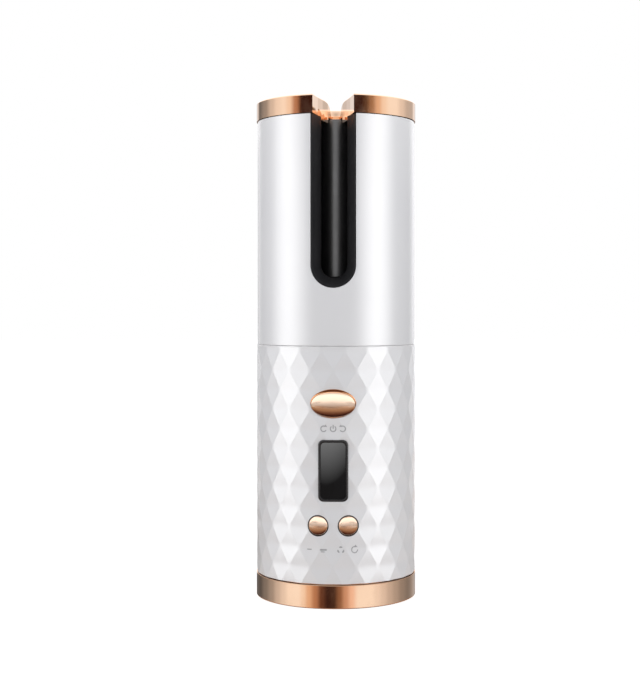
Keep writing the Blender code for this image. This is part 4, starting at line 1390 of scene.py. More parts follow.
# ---- hair slot and winding chamber --------------------------------------------
@dataclass
class Throat:
    """The black funnel that narrows from the shell's slot to the chamber's slot."""

    front_radius: float = 30.55 * MM
    shell_radius: float = 28.3 * MM
    back_radius: float = 22.45 * MM
    front_half: float = 8.56 * MM
    back_half: float = 5.1 * MM
    front_bottom: float = 121.06 * MM
    back_bottom: float = 124.8 * MM
    top: float = 186.65 * MM
    wall: float = 1.3 * MM

    def outline(self, half: float, bottom: float, radius: float) -> list[Triple]:
        """The U outline of one depth, wrapped on its cylinder."""
        centre = bottom + half
        turns = [math.pi + math.pi * i / 40 for i in range(41)]
        left = [(-half, self.top + (centre - self.top) * i / 12) for i in range(12)]
        arc = [(half * math.cos(a), centre + half * math.sin(a)) for a in turns]
        right = [(-x, z) for x, z in reversed(left)]
        return [on_round(radius, x, z) for x, z in left + arc + right]

    def build(self) -> None:
        """Make the throat."""
        lip = 0.3 * MM
        stages = [(self.front_radius - lip, self.front_half - 0.02 * MM, self.front_bottom),
                  (self.front_radius, self.front_half - lip, self.front_bottom + lip * 0.9),
                  (self.front_radius - 0.5 * MM, self.front_half - 2 * lip,
                   self.front_bottom + 2 * lip)]
        count = 14
        for i in range(1, count + 1):
            t = i / count
            ease = t * t * (3 - 2 * t) * 0.35 + t * 0.65
            start = self.front_half - 2 * lip
            run = self.back_radius - self.front_radius + 0.5 * MM
            drop = self.back_bottom - self.front_bottom - 2 * lip
            stages.append((self.front_radius - 0.5 * MM + run * t,
                           start + (self.back_half - start) * ease,
                           self.front_bottom + 2 * lip + drop * ease))
        back = [(self.back_radius, self.back_half + self.wall, self.back_bottom - self.wall),
                (self.shell_radius - 0.6 * MM, self.front_half + self.wall,
                 self.front_bottom - self.wall),
                (self.shell_radius, self.front_half + self.wall, self.front_bottom - self.wall),
                (self.shell_radius, self.front_half - 0.02 * MM, self.front_bottom)]
        skin = Skin()
        rows = skin.loft([self.outline(half, bottom, radius) for radius, half,
                          bottom in stages + back],
                         around=False, closed=True)
        for end in (0, -1):
            skin.face([row[end] for row in rows])
        SHOP.show(skin.mesh("slot_throat_satin", 38.0), Body.HOUSING, Finish.THROAT,
                  ["slot_throat"])


@dataclass
class WindingChamber:
    """The fixed sleeve, the rotor that turns in it and the rotor's hair catch."""

    slot_half: float = 5.1 * MM
    slot_bottom: float = 124.8 * MM
    sleeve: Pair = (22.2 * MM, 20.6 * MM)
    sleeve_bottom: float = 119.8 * MM
    sleeve_top: float = 186.4 * MM
    flange: Pair = (28.1 * MM, 118.0 * MM)
    rotor: Pair = (20.2 * MM, 18.4 * MM)
    rotor_bottom: float = 119.5 * MM
    rotor_top: float = 184.0 * MM
    floor: Pair = (117.5 * MM, 119.5 * MM)
    hub_bore: float = 8.9 * MM
    catch_angle: float = 32.0

    def build_sleeve(self) -> None:
        """The fixed wall and its foot flange."""
        tube = SlottedTube("chamber_sleeve_satin", *self.sleeve, self.sleeve_bottom,
                           self.sleeve_top,
                           self.slot_half, self.slot_bottom, 0.2 * MM, 0.02 * MM, 16, 28, 40)
        tube.build(Body.HOUSING, Finish.THROAT, "throat_plastic", ["chamber_sleeve"])
        radius, low = self.flange
        high = self.sleeve_bottom - 0.01 * MM
        corners = [(radius, high, 0.2 * MM), (radius, low, 0.2 * MM),
                   (self.sleeve[1], low, 0.2 * MM),
                   (self.sleeve[1], high, 0.05 * MM)]
        ring = lathe(rounded(corners, True, 3), 128, closed=True).mesh("chamber_flange_satin")
        SHOP.show(ring, Body.HOUSING, Finish.THROAT)

    def build_rotor(self) -> None:
        """The turning cup: its slotted wall and its floor."""
        tube = SlottedTube("winding_rotor_satin", *self.rotor, self.rotor_bottom, self.rotor_top,
                           self.slot_half, self.slot_bottom, 0.3 * MM, 0.02 * MM, 16, 28, 40)
        tube.build(Body.ROTOR, Finish.THROAT, "throat_plastic", ["winding_rotor"])
        low, high = self.floor
        corners = [(self.rotor[0], high - 0.01 * MM, 0.02 * MM), (self.rotor[0], low, 0.4 * MM),
                   (self.hub_bore, low, 0.2 * MM), (self.hub_bore, high - 0.01 * MM, 0.2 * MM)]
        disc = lathe(rounded(corners, True, 3), 128, closed=True).mesh("rotor_floor_satin")
        SHOP.show(disc, Body.ROTOR, Finish.THROAT)

    def build_catch(self) -> None:
        """The hook that takes the strand along, rounded at its ends."""
        plan = [(17.9, -2.6, 0.3), (17.9, 2.6, 0.3), (16.9, 2.6, 0.4), (15.6, 1.2, 1.6),
                (13.6, 0.9, 2.0),
                (12.0, 1.9, 0.5), (11.3, 1.5, 0.3), (11.9, 0.1, 1.0), (13.6, -0.9, 2.0),
                (15.8, -1.1, 1.0),
                (16.9, -2.6, 0.4)]
        outline = rounded_mm(plan, True, 4)
        middle = Vector((15.2 * MM, 0.0))
        turn = Matrix.Rotation(math.radians(self.catch_angle - 90.0), 3, "Z")
        skin, rows = Skin(), []
        for share, height in ((0.9, 144.0), (0.97, 144.12), (1.0, 144.5), (1.0, 167.5),
                              (0.97, 167.88), (0.9, 168.0)):
            row = []
            for x, y in outline:
                spot = middle + (Vector((x, y)) - middle) * share
                row.append(tuple(turn @ Vector((spot.x, spot.y, height * MM))))
            rows.append(row)
        skin.loft(rows, capped=True)
        SHOP.show(skin.mesh("hair_catch_satin"), Body.ROTOR, Finish.THROAT,
                  ["hair_catch"])

    def build(self) -> None:
        """Make the chamber."""
        self.build_sleeve()
        self.build_rotor()
        self.build_catch()


@dataclass
class Barrel:
    """The ceramic-coated barrel on its collar."""

    radius: float = 7.5 * MM
    bore: float = 6.2 * MM
    bottom: float = 125.0 * MM
    top: float = 187.4 * MM
    collar: Pair = (9.8 * MM, 4.0 * MM)
    collar_heights: Pair = (120.1 * MM, 124.7 * MM)

    def build(self) -> None:
        """Make the barrel and its collar."""
        top, low = self.top, self.bottom
        corners = [(0.0, top - 0.5 * MM, 0.0), (3.1 * MM, top - 0.5 * MM, 0.1 * MM),
                   (3.3 * MM, top, 0.12 * MM),
                   (self.radius, top, 0.9 * MM), (self.radius, low, 0.7 * MM),
                   (self.bore, low, 0.2 * MM),
                   (self.bore, top - 1.4 * MM, 0.2 * MM), (0.0, top - 1.4 * MM, 0.0)]
        mesh = lathe(rounded(corners, False, 6), 128).mesh("barrel_ceramic_coated")
        SHOP.show(mesh, Body.HOUSING, Finish.BARREL, ["barrel"])
        outer, inner = self.collar
        foot, head = self.collar_heights
        corners = [(outer, foot, 0.3 * MM), (inner, foot, 0.2 * MM), (inner, head, 0.2 * MM),
                   (7.0 * MM, head, 0.3 * MM), (outer, head - 1.2 * MM, 0.8 * MM)]
        ring = lathe(rounded(corners, True, 5), 96, closed=True).mesh("barrel_collar_satin")
        SHOP.show(ring, Body.HOUSING, Finish.THROAT, ["barrel_collar"])


# ---- controls -----------------------------------------------------------------
@dataclass
class Pillow:
    """A domed plated button on a flat rim."""

    name: str
    half: Pair
    height: float
    body: Body
    node: str
    rim: float
    crown: float
    side: float
    swing: float = 0.0
    root: float = 27.9 * MM
    fullness: float = 2.3
    foot_share: float = 0.86
    side_power: float = 14
    sides: int = 128
    steps: int = 28

    def point(self, share: float, angle: float, depth: float) -> Triple:
        """A point of the button: share of its outline, angle round it, distance from the axis."""
        across = self.half[0] * share * math.cos(angle)
        height = self.height + self.half[1] * share * math.sin(angle)
        spot = Matrix.Rotation(self.swing, 3, "Z") @ Vector((across, -depth, height))
        return tuple(spot)

    def build(self) -> None:
        """Make the button."""
        rings = [(self.foot_share, self.root), (1.0, self.root), (1.0, self.rim - self.side),
                 (1.0, self.rim)]
        for i in range(1, self.steps + 1):
            share = math.cos(QUARTER_TURN * i / self.steps)
            dome = (1.0 - share ** self.fullness) * self.crown
            wall = self.side * (1.0 - share ** self.side_power)
            rings.append((share, self.rim + dome + wall))
        skin = Skin()
        rows = skin.loft([[self.point(share, a, depth) for a in turns_round(self.sides)]
                          for share, depth in rings[:-1]])
        skin.face(rows[0])
        tip = skin.row([self.point(0.0, 0.0, rings[-1][1])])[0]
        for i in range(self.sides):
            skin.face((rows[-1][i], rows[-1][(i + 1) % self.sides], tip))
        SHOP.show(skin.mesh(self.name), self.body, Finish.ROSE_SATIN,
                  [self.node])


@dataclass
class SurroundRing:
    """A ring set in the handle round a control."""

    name: str
    outline: Callable[[float], list[Pair]]
    section: tuple[Pair, ...]
    finish: Finish
    slot: str
    nodes: tuple[str, ...] = ()
    swing: float = 0.0
    base_radius: float = 31.3 * MM
    root: float = 28.2 * MM

    def build(self) -> None:
        """Make the ring: the section is (share from the outer to the inner outline, rise in mm)."""
        turn = Matrix.Rotation(self.swing, 3, "Z")
        foot = (self.root - self.base_radius) / MM
        section = [(0.0, foot), *self.section, (1.0, foot)]
        rows = []
        for share, rise in section:
            points = []
            for x, z in self.outline(share):
                depth = math.sqrt(self.base_radius ** 2 - x * x) + rise * MM
                points.append(tuple(turn @ Vector((x, -depth, z))))
            rows.append(points)
        skin = Skin()
        skin.loft(rows, closed=True)
        SHOP.show(skin.mesh(self.name), Body.HOUSING, self.finish, self.nodes)


@dataclass
class ControlPanel:
    """The start button, the display and the two round buttons."""

    start_height: float = 77.4 * MM
    start_half: Pair = (8.65 * MM, 5.53 * MM)
    button_height: float = 77.0 * MM
    button_half: Pair = (8.32 * MM, 4.92 * MM)
    gap: float = 0.08 * MM
    display_height: float = 52.2 * MM
    display_half: Pair = (5.7 * MM, 11.65 * MM)
    display_corner: float = 2.1 * MM
    display_rim: float = 0.98 * MM
    glass_radius: float = 31.62 * MM
    pane_thick: float = 3 * MM
    pane_grid: tuple[int, int] = (32, 48)
    round_height: float = 31.5 * MM
    round_angle: float = 10.6
    round_radius: float = 3.62 * MM
    round_gap_width: float = 0.42 * MM

    def cutters(self) -> list[bpy.types.Mesh]:
        """What the handle loses for the controls."""
        shrink = 0.12 * MM
        near, far = 26 * MM, 34 * MM
        start = oval(self.start_half[0] - shrink, self.start_half[1] - shrink, self.start_height)
        window = soft_box(self.display_half[0] - shrink, self.display_half[1] - shrink,
                          self.display_corner, self.display_height)
        made = [prism("start_hole", start, near, far), prism("display_hole", window, near, far)]
        radius = self.round_radius + self.round_gap_width
        for side in (-1, 1):
            hole = oval(radius, radius, self.round_height, 64)
            made.append(prism("round_hole", hole, near, far, math.radians(side * self.round_angle)))
        return made

    def start_ring(self, share: float) -> list[Pair]:
        """An outline of the start button's surround, which is widest at its top."""
        inner_x, inner_z = (side + self.gap for side in self.button_half)
        x, z = (outer + (inner - outer) * share for outer,
                inner in zip(self.start_half, (inner_x, inner_z)))
        return oval(x, z, self.start_height + (self.button_height - self.start_height) * share, 128)

    def display_ring(self, share: float) -> list[Pair]:
        """An outline of the display's rim."""
        inset = self.display_rim * share
        return soft_box(self.display_half[0] - inset, self.display_half[1] - inset,
                        self.display_corner - 0.6 * inset, self.display_height, 10)

    def round_ring(self, share: float) -> list[Pair]:
        """An outline of the black ring in a round button's gap, which stands in for the gap's
        shade: painted shade.
        """
        radius = self.round_radius + self.gap + (self.round_gap_width - self.gap) * (1.0 - share)
        return oval(radius, radius, self.round_height, 72)

    def pane_half(self, rise: float) -> float:
        """Half width of the glass at a height above its centre."""
        half_x, half_z = (side - 1.03 * self.display_rim for side in self.display_half)
        corner = self.display_corner - 0.6 * self.display_rim
        over = abs(rise) - (half_z - corner)
        return half_x if over <= 0.0 else half_x - corner + math.sqrt(max(corner ** 2 - over ** 2,
                                                                          0.0))

    def build_window(self) -> None:
        """The display's curved glass, a grid of upright columns."""
        half_z = self.display_half[1] - 1.03 * self.display_rim
        across, up = self.pane_grid
        skin = Skin()
        front, back = [], []
        for i in range(up + 1):
            rise = half_z * math.sin(math.pi * (i / up - 0.5))
            half = self.pane_half(rise)
            for rows, radius in ((front, self.glass_radius),
                                 (back, self.glass_radius - self.pane_thick)):
                rows.append(skin.row([on_round(radius, half * (2 * j / across - 1),
                                               self.display_height + rise)
                                      for j in range(across + 1)]))
        for rows in (front, back):
            for here, there in zip(rows, rows[1:]):
                skin.strip(here, there)
        loops = [rows[0] + [r[-1] for r in rows[1:]] + rows[-1][-2::-1]
                 + [r[0] for r in rows[-2:0:-1]] for rows in (front, back)]
        skin.strip(loops[0], loops[1], around=True)
        SHOP.show(skin.mesh("display_window_glass"), Body.HOUSING, Finish.WINDOW,
                  ["display_window"])

    def build(self) -> None:
        """Make the controls."""
        lip = ((0.0, -0.05), (0.04, 0.08), (0.1, 0.12), (0.16, 0.1), (0.9, -0.2), (1.0, -0.7))
        SurroundRing("start_bezel_plated", self.start_ring, lip, Finish.ROSE_GOLD,
                     "rose_gold_plate",
                     ("start_bezel",)).build()
        Pillow("start_button_plated", self.button_half, self.button_height, Body.START,
               "start_button",
               31.1 * MM, 1.35 * MM, 0.4 * MM).build()
        bead = ((0.0, -0.02), (0.05, 0.2), (0.16, 0.36), (0.3, 0.43), (0.72, 0.43), (0.88, 0.38),
                (1.0, 0.2))
        SurroundRing("display_rim_black", self.display_ring, bead, Finish.RIM, "black_plastic",
                     ("display_frame",)).build()
        self.build_window()
        # Each round button's gap holds a sunk black ring that stands in for the gap's shade:
        # painted shade.
        gap_shade_ring = ((0.0, -0.3), (0.2, -0.22), (0.8, -0.22), (1.0, -0.3))
        for side, body, node in ((-1, Body.HEAT, "heat_button"), (1, Body.TURN, "turn_button")):
            swing = math.radians(side * self.round_angle)
            Pillow(node + "_plated", (self.round_radius, self.round_radius), self.round_height,
                   body, node,
                   31.1 * MM, 0.8 * MM, 0.35 * MM, swing).build()
            SurroundRing(node + "_seal", self.round_ring, gap_shade_ring, Finish.THROAT, "black_plastic",
                         swing=swing).build()


# ---- printed marks ------------------------------------------------------------
@dataclass
class PrintedMarks:
    """Plain pictograms printed on the handle: bars, arrows and a fan, no lettering."""

    handle: FacetedHandle
    lift: float = 0.03 * MM

    def arc(self, x: float, z: float, outer: float, inner: float, start: float,
            end: float) -> list[list[Pair]]:
        """An arc band round a centre in short pieces, angles in degrees."""
        turns = [math.radians(start + (end - start) * i / 20) for i in range(21)]
        rims = [[(x + radius * math.cos(a),
                  z + radius * math.sin(a)) for a in turns] for radius in (outer, inner)]
        return [[rims[0][i], rims[0][i + 1], rims[1][i + 1], rims[1][i]] for i in range(20)]

    def arrow_head(self, x: float, z: float, size: float, direction: float) -> list[Pair]:
        """A small triangle that points in a direction, in degrees."""
        turns = [math.radians(direction + a) for a in (0.0, 130.0, 230.0)]
        return [(x + size * math.cos(a), z + size * math.sin(a)) for a in turns]

    def bar(self, x: float, z: float, half_x: float, half_z: float) -> list[Pair]:
        """A small upright or lying bar."""
        return [(px + x, pz) for px, pz in soft_box(half_x, half_z, min(half_x, half_z) * 0.5, z,
                                                    3)]

    def shapes(self) -> list[list[Pair]]:
        """Every printed shape, in millimetres across and above the ground."""
        start, low = 68.0, 22.5
        marks = [*self.arc(-3.6, start, 1.25, 0.85, 60.0, 330.0),
                 self.arrow_head(-2.75, start + 1.0, 0.62, -30.0),
                 *self.arc(0.0, start, 1.25, 0.85, 125.0, 415.0),
                 self.bar(0.0, start + 0.75, 0.19, 0.72),
                 *self.arc(3.6, start, 1.25, 0.85, 210.0, 480.0),
                 self.arrow_head(2.75, start + 1.0, 0.62, 210.0)]
        marks += [self.bar(-9.2, low, 0.9, 0.2), self.bar(-3.7, low, 1.3, 0.3),
                  self.bar(-3.9, low - 0.75, 0.8, 0.16)]
        for turn in (90.0, 210.0, 330.0):
            marks += self.arc(2.9 + 0.72 * math.cos(math.radians(turn)),
                              low + 0.72 * math.sin(math.radians(turn)),
                              0.7, 0.05, turn - 75.0, turn + 75.0)
        marks += [*self.arc(8.2, low, 1.35, 0.98, 70.0, 360.0),
                  self.arrow_head(8.7, low + 1.2, 0.7, -20.0)]
        return marks

    def build(self) -> None:
        """Print the marks on the facets."""
        work = bmesh.new()
        for shape in self.shapes():
            corners = [work.verts.new((x * MM, 0.0, z * MM)) for x, z in shape]
            work.faces.new(corners)
        bmesh.ops.triangulate(work, faces=work.faces)
        for _ in range(3):
            long_edges = [e for e in work.edges if e.calc_length() > 0.35 * MM]
            bmesh.ops.subdivide_edges(work, edges=long_edges, cuts=1)
            bmesh.ops.triangulate(work, faces=work.faces)
        for vert in work.verts:
            angle = vert.co.x / self.handle.ridge_radius
            radius = self.handle.radius_at(angle, vert.co.z) + self.lift
            vert.co = at_angle(radius, angle, vert.co.z)
        bmesh.ops.recalc_face_normals(work, faces=work.faces)
        for face in work.faces:
            if face.normal.y > 0.0:
                face.normal_flip()
        bmesh.ops.solidify(work, geom=work.faces, thickness=0.02 * MM)
        mesh = bpy.data.meshes.new("printed_marks")
        work.to_mesh(mesh)
        work.free()
        SHOP.show(mesh, Body.HOUSING, Finish.INK)


# ---- inside -------------------------------------------------------------------
@dataclass
class Works:
    """Finishes of the parts inside, which keep their CAD shapes."""

    nodes: dict[Finish, str] = field(default_factory=lambda: {
        Finish.FRAME: "gear_deck inner_frame display_module",
        Finish.BLACK: "barrel_post hall_sensor motor_end_cap controller_chip charger_chip "
                      "start_switch heat_switch turn_switch",
        Finish.ACETAL: "rotor_bush rotor_gear",
        Finish.NICKEL: "home_magnet motor_can thermal_fuse cell_tab_left cell_tab_right cell_link",
        Finish.STEEL: "gearbox_case deck_screw_left deck_screw_right output_shaft",
        Finish.BRASS: "motor_terminal_left motor_terminal_right drive_pinion",
        Finish.ALUMINIUM: "heater_clamp_rear heater_clamp_front",
        Finish.CERAMIC: "heater_plate thermistor",
        Finish.LEAD_RED: "heater_lead_left", Finish.LEAD_BLACK: "heater_lead_right",
        Finish.CELL: "cell_left cell_right", Finish.BOARD: "main_board charge_board"})

    def dress(self) -> None:
        """Give each inner part its finish."""
        for finish, names in self.nodes.items():
            for item in (bpy.data.objects[name] for name in names.split()):
                if not item.material_slots:
                    item.data.materials.append(finish.material)
                for holder in item.material_slots:
                    holder.material = finish.material
            LOG.info("%s on %s", finish.value.name, names)


# ---- studio -------------------------------------------------------------------
class Tone:
    """Colours of the surround, from the brightest card to the darkest corner."""

    WHITE = (1.14, 1.16, 1.18)
    CREAM = (1.08, 0.98, 0.90)
    AMBER = (0.90, 0.64, 0.47)
    COPPER = (0.54, 0.29, 0.18)
    EMBER = (0.15, 0.065, 0.04)
    COAL = (0.045, 0.016, 0.012)


def grey(level: float) -> Triple:
    """A neutral tone."""
    return (level, level, level * 1.02)


@dataclass(frozen=True)
class Surround:
    """What polished parts see round them: one band of tones for each height.

    Each band is a tuple of (degrees, tone). Bands round the axis start at the back on the
    left, with the front at 0.
    """

    rising: tuple = ((-90.0, Tone.COAL), (-60.0, Tone.COAL), (-45.0, Tone.EMBER),
                     (-24.0, (0.44, 0.27, 0.17)),
                     (-14.0, (0.56, 0.42, 0.33)), (-8.0, (0.67, 0.58, 0.52)), (-4.0, grey(0.78)),
                     (4.0, grey(1.1)), (16.0, grey(1.45)), (45.0, grey(1.7)), (70.0, grey(1.0)),
                     (90.0, grey(0.45)))
    level: tuple = ((-180.0, grey(0.4)), (-150.0, grey(0.3)), (-110.0, grey(0.7)),
                    (-40.0, grey(0.85)),
                    (40.0, grey(0.85)), (110.0, grey(0.5)), (140.0, grey(0.3)), (160.0, grey(0.9)),
                    (180.0, grey(0.4)))
    cap: tuple = ((-180.0, grey(0.5)), (-165.0, grey(0.9)), (-156.0, grey(0.7)),
                  (-147.0, grey(0.18)), (-124.0, grey(0.38)), (-107.0, grey(0.78)),
                  (-94.0, grey(1.05)), (-82.0, Tone.WHITE), (-72.0, Tone.CREAM),
                  (-61.0, Tone.COPPER),
                  (-51.0, Tone.COAL), (-31.0, Tone.COAL), (-25.0, grey(1.2)), (17.0, grey(1.2)),
                  (23.0, Tone.COAL),
                  (34.0, Tone.COAL), (41.0, (0.11, 0.055, 0.03)), (51.0, (0.42, 0.25, 0.15)),
                  (61.0, Tone.AMBER), (71.0, Tone.CREAM), (82.0, Tone.WHITE), (94.0, Tone.WHITE),
                  (108.0, grey(0.92)), (125.0, grey(0.64)), (142.0, grey(0.6)), (152.0, grey(1.0)),
                  (180.0, grey(0.5)))
    base: tuple = ((-180.0, grey(0.2)), (-143.0, grey(0.12)), (-124.0, grey(0.25)),
                   (-107.0, grey(0.42)),
                   (-94.0, grey(0.7)), (-83.0, grey(0.93)), (-72.0, Tone.WHITE),
                   (-57.0, Tone.WHITE),
                   (-49.0, Tone.CREAM), (-41.0, Tone.AMBER), (-31.0, Tone.COPPER),
                   (-22.0, Tone.EMBER),
                   (-13.0, Tone.COAL), (-5.0, (0.07, 0.035, 0.024)), (4.0, (0.32, 0.17, 0.10)),
                   (12.0, (0.72, 0.46, 0.34)), (21.0, (1.05, 0.80, 0.69)), (31.0, Tone.WHITE),
                   (50.0, Tone.WHITE), (60.0, grey(1.03)), (70.0, grey(0.87)), (82.0, grey(0.67)),
                   (94.0, grey(0.52)), (108.0, grey(0.36)), (125.0, grey(0.27)), (155.0, grey(0.5)),
                   (180.0, grey(0.3)))
    level_span: tuple[float, float] = (-10.2, 6.9)
    cap_span: tuple[float, float] = (7.2, 10.2)
    base_span: tuple[float, float] = (-13.2, -10.5)
    swing: float = 3.5
    soft: float = 0.6
    headroom: float = 2.0

    def ramp(self, graph: Graph, angle: bpy.types.NodeSocket, limit: float,
             stops: tuple) -> bpy.types.NodeSocket:
        """A run of tones over an angle.

        Args:
            graph: the tree.
            angle: the angle's socket, in degrees.
            limit: largest angle, the smallest being its opposite.
            stops: (degrees, tone) pairs.

        Returns:
            The tone's socket.
        """
        node = graph.add("ShaderNodeValToRGB", {"Fac": graph.spread(angle, 0.0, 1.0, -limit,
                                                                    limit)})
        node.color_ramp.interpolation = "EASE"
        elements = node.color_ramp.elements
        while len(elements) < len(stops):
            elements.new(0.5)
        for element, (degrees, tone) in zip(elements, stops):
            element.position = (degrees + limit) / (2.0 * limit)
            element.color = (*(c / self.headroom for c in tone), 1.0)
        return node.outputs["Color"]

    def window(self, graph: Graph, angle: bpy.types.NodeSocket,
               span: tuple[float, float]) -> bpy.types.NodeSocket:
        """One inside a span of angles, falling softly to zero outside it."""
        sides = [graph.spread(angle, 0.0, 1.0, edge + outwards * self.soft / 2,
                              edge - outwards * self.soft / 2,
                              interpolation_type="SMOOTHSTEP") for edge,
                 outwards in zip(span, (-1.0, 1.0))]
        return graph.math("MULTIPLY", *sides)

    def build(self, graph: Graph) -> bpy.types.NodeSocket:
        """Lay out the surround.

        Args:
            graph: the world's tree.

        Returns:
            The colour's socket, to be multiplied by the headroom.
        """
        seen = graph.add("ShaderNodeTexCoord").outputs["Generated"]
        way = graph.add("ShaderNodeSeparateXYZ", {0: seen}).outputs
        front = graph.math("MULTIPLY", way["Y"], -1.0)
        around = graph.math("DEGREES", graph.math("ARCTAN2", way["X"], front))
        around = graph.math("SUBTRACT", around, self.swing)
        height = graph.math("DEGREES", graph.math("ARCSINE", way["Z"]))
        colour = self.ramp(graph, height, 90.0, self.rising)
        for stops, span in ((self.level, self.level_span), (self.cap, self.cap_span),
                            (self.base, self.base_span)):
            band = self.ramp(graph, around, 180.0, stops)
            if stops is self.level:
                band = self.times(graph, band, colour)
            colour = graph.blend(self.window(graph, height, span), colour, band)
        return colour

    def times(self, graph: Graph, first: bpy.types.NodeSocket,
              second: bpy.types.NodeSocket) -> bpy.types.NodeSocket:
        """The product of two tones, back in the ramp's own scale."""
        product = graph.out("ShaderNodeVectorMath", {0: first, 1: second}, operation="MULTIPLY")
        return graph.out("ShaderNodeVectorMath", {0: product, "Scale": self.headroom},
                         operation="SCALE")


@dataclass
class Softbox:
    """A rectangular light that faces the axis, with faded sides."""

    name: str
    azimuth: float
    elevation: float
    distance: float
    size: Pair
    radiance: float
    aim_height: float = 0.1
    roll: float = 0.0
    fade: float = 0.0
    foot: float = 1.0
    receivers: str = ""
    foot_reach: float = 0.25

    def build(self, groups: dict[str, bpy.types.Collection]) -> bpy.types.Object:
        """Hang the light.

        Args:
            groups: collections of pieces that a light may be kept to.

        Returns:
            The light.
        """
        data = bpy.data.lights.new(self.name, "AREA")
        data.shape = "RECTANGLE"
        data.size, data.size_y = self.size
        data.energy = self.radiance * math.pi * self.size[0] * self.size[1]
        if self.fade or self.foot != 1.0:
            self.soften(data)
        light = bpy.data.objects.new(self.name, data)
        around, up = math.radians(self.azimuth), math.radians(self.elevation)
        back = Vector((math.sin(around) * math.cos(up), -math.cos(around) * math.cos(up),
                       math.sin(up)))
        light.location = Vector((0.0, 0.0, self.aim_height)) + back * self.distance
        aim = back.to_track_quat("Z", "Y").to_matrix() @ Matrix.Rotation(math.radians(self.roll), 3,
                                                                         "Z")
        light.rotation_euler = aim.to_euler()
        light.visible_camera = False
        bpy.context.scene.collection.objects.link(light)
        if self.receivers:
            light.light_linking.receiver_collection = groups[self.receivers]
        return light

    def soften(self, data: bpy.types.Light) -> None:
        """Fade the light towards its sides and its foot.

        Args:
            data: the light's data.
        """
        data.use_nodes = True
        graph = Graph(data.node_tree)
        spot = graph.add("ShaderNodeNewGeometry").outputs["Parametric"]
        where = graph.add("ShaderNodeSeparateXYZ", {0: spot}).outputs
        strength: object = 1.0
        if self.fade:
            centred = graph.math("ABSOLUTE", graph.math("SUBTRACT", where[0], 0.5))
            strength = graph.spread(centred, 0.0, 1.0, 0.5, 0.5 - self.fade / 2,
                                    interpolation_type="SMOOTHSTEP")
        if self.foot != 1.0:
            rise = graph.spread(where[1], self.foot, 1.0, 0.0, self.foot_reach)
            strength = graph.math("MULTIPLY", strength, rise)
        graph.feed(data.node_tree.nodes["Emission"].inputs["Strength"], strength)


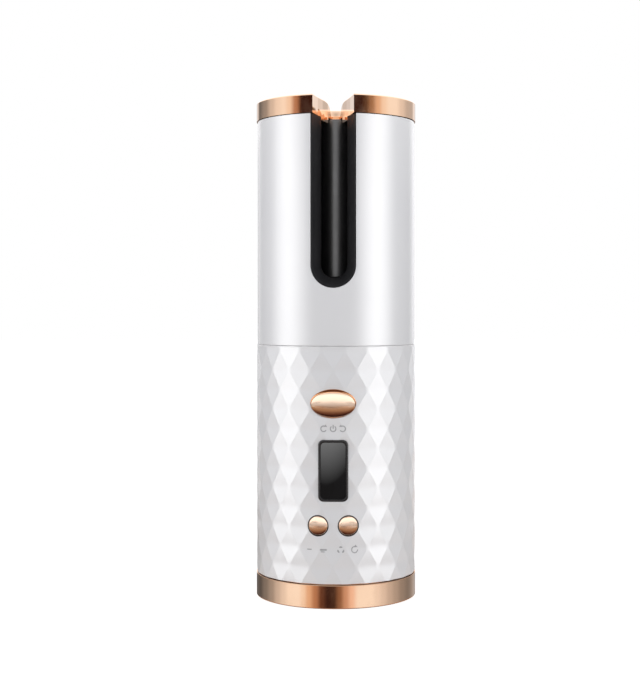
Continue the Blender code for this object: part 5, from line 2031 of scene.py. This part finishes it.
@dataclass
class Studio:
    """A pale floor, soft lights and the camera."""

    floor_radius: float = 4.0
    camera_distance: float = 0.5477
    camera_azimuth: float = 2.0
    camera_height: float = 114.6 * MM
    lens: float = 73.59
    shift: Pair = (-0.02377, -0.0472)
    fill: float = 0.18
    fill_colour: Triple = (0.97, 0.975, 1.0)

    def build_floor(self) -> None:
        """The pale floor."""
        profile = [(0.0, 0.0), (0.3, 0.0), (1.0, 0.0), (self.floor_radius, 0.0)]
        mesh = lathe(profile, 96).mesh("floor")
        paint = Paint("pale_floor")
        paint.fix(Specular_IOR_Level=0.0, Emission_Color=(1.0, 1.0, 1.0, 1.0),
                  Emission_Strength=0.95)
        cloud = paint.noise(2.0, 2.0)
        paint.tint(paint.spread(cloud), (0.78, 0.78, 0.78), (0.8, 0.8, 0.8))
        paint.drive("Roughness", paint.spread(cloud, 0.85, 0.95))
        mesh.materials.append(paint.material)
        floor = bpy.data.objects.new("floor", mesh)
        floor.visible_glossy = False
        bpy.context.scene.collection.objects.link(floor)

    def build_world(self) -> None:
        """White to look at, toned in reflections and an even fill for the rest."""
        world = bpy.data.worlds.new("studio")
        world.use_nodes = True
        graph = Graph(world.node_tree)
        out = world.node_tree.nodes["World Output"]
        surround = Surround()
        shown, toned, seen = (
            graph.out("ShaderNodeBackground", {"Color": colour, "Strength": strength}) for colour,
            strength in
            ((opaque(self.fill_colour), self.fill), (surround.build(graph), surround.headroom),
             (opaque((1.0, 1.0, 1.0)), 1.0)))
        rays = graph.add("ShaderNodeLightPath").outputs
        for ray, background in (("Is Glossy Ray", toned), ("Is Camera Ray", seen)):
            shown = graph.out("ShaderNodeMixShader", {0: rays[ray], 1: shown, 2: background})
        graph.feed(out.inputs["Surface"], shown)
        bpy.context.scene.world = world

    def build_lights(self) -> None:
        """Tall boxes at the sides and behind, and a card in front for the display."""
        groups = {name: bpy.data.collections.new(name) for name in
                  ("lit_by_boxes", "lit_by_card", "lit_in_slot")}
        for item in bpy.context.scene.objects:
            if item.type != "MESH":
                continue
            dressed = {holder.material for holder in item.material_slots}
            if not dressed & {Finish.ROSE_GOLD.material, Finish.ROSE_SATIN.material}:
                groups["lit_by_boxes"].objects.link(item)
            if Finish.WINDOW.material in dressed:
                groups["lit_by_card"].objects.link(item)
            if Finish.BARREL.material in dressed:
                groups["lit_in_slot"].objects.link(item)
        for box in (Softbox("left_box", -69.0, 0.0, 0.9, (1.4, 0.62), 3.1, fade=1.0,
                            receivers="lit_by_boxes"),
                    Softbox("right_box", 62.0, 0.0, 0.9, (1.3, 0.62), 3.35, fade=1.0,
                            receivers="lit_by_boxes"),
                    Softbox("back_left_box", -150.0, 5.0, 1.0, (0.6, 0.62), 0.5, fade=0.8,
                            receivers="lit_by_boxes"),
                    Softbox("back_right_box", 150.0, 5.0, 1.0, (0.6, 0.62), 0.5, fade=0.8,
                            receivers="lit_by_boxes"),
                    Softbox("display_card", 0.0, 0.0, 1.0, (1.2, 0.34), 27.0, 94 * MM, 1.6,
                            foot=0.02,
                            receivers="lit_by_card"),
                    Softbox("slot_card", -8.0, 8.0, 0.9, (0.95, 0.5), 1.0, 0.1, fade=1.0,
                            receivers="lit_in_slot")):
            box.build(groups)

    def build_camera(self) -> None:
        """The camera, level, a little to the right of the front."""
        data = bpy.data.cameras.new("camera")
        data.lens = self.lens
        data.shift_x, data.shift_y = self.shift
        camera = bpy.data.objects.new("camera", data)
        around = math.radians(self.camera_azimuth)
        camera.location = (self.camera_distance * math.sin(around),
                           -self.camera_distance * math.cos(around),
                           self.camera_height)
        camera.rotation_euler = (math.radians(90.0), 0.0, around)
        bpy.context.scene.collection.objects.link(camera)
        bpy.context.scene.camera = camera

    def build(self) -> None:
        """Set up the studio round the finished object."""
        self.build_camera()
        self.build_world()
        self.build_lights()
        self.build_floor()
        bpy.context.scene.view_settings.view_transform = "Standard"
        LOG.info("studio ready")


def main() -> None:
    """Build the curler and the studio round it."""
    logging.basicConfig(level=logging.INFO, format="%(message)s")
    panel = ControlPanel()
    handle = FacetedHandle()
    handle.build(panel.cutters())
    SlottedTube("upper_shell_moulded", 31.1 * MM, 28.6 * MM, 99.06 * MM, 186.75 * MM, 8.62 * MM,
                121.0 * MM).build(Body.HOUSING, Finish.WHITE, "white_shell", ["upper_shell"])
    TopCap().build()
    BaseCap().build()
    Throat().build()
    WindingChamber().build()
    Barrel().build()
    panel.build()
    PrintedMarks(handle).build()
    Works().dress()
    Studio().build()


if __name__ == "__main__":
    main()
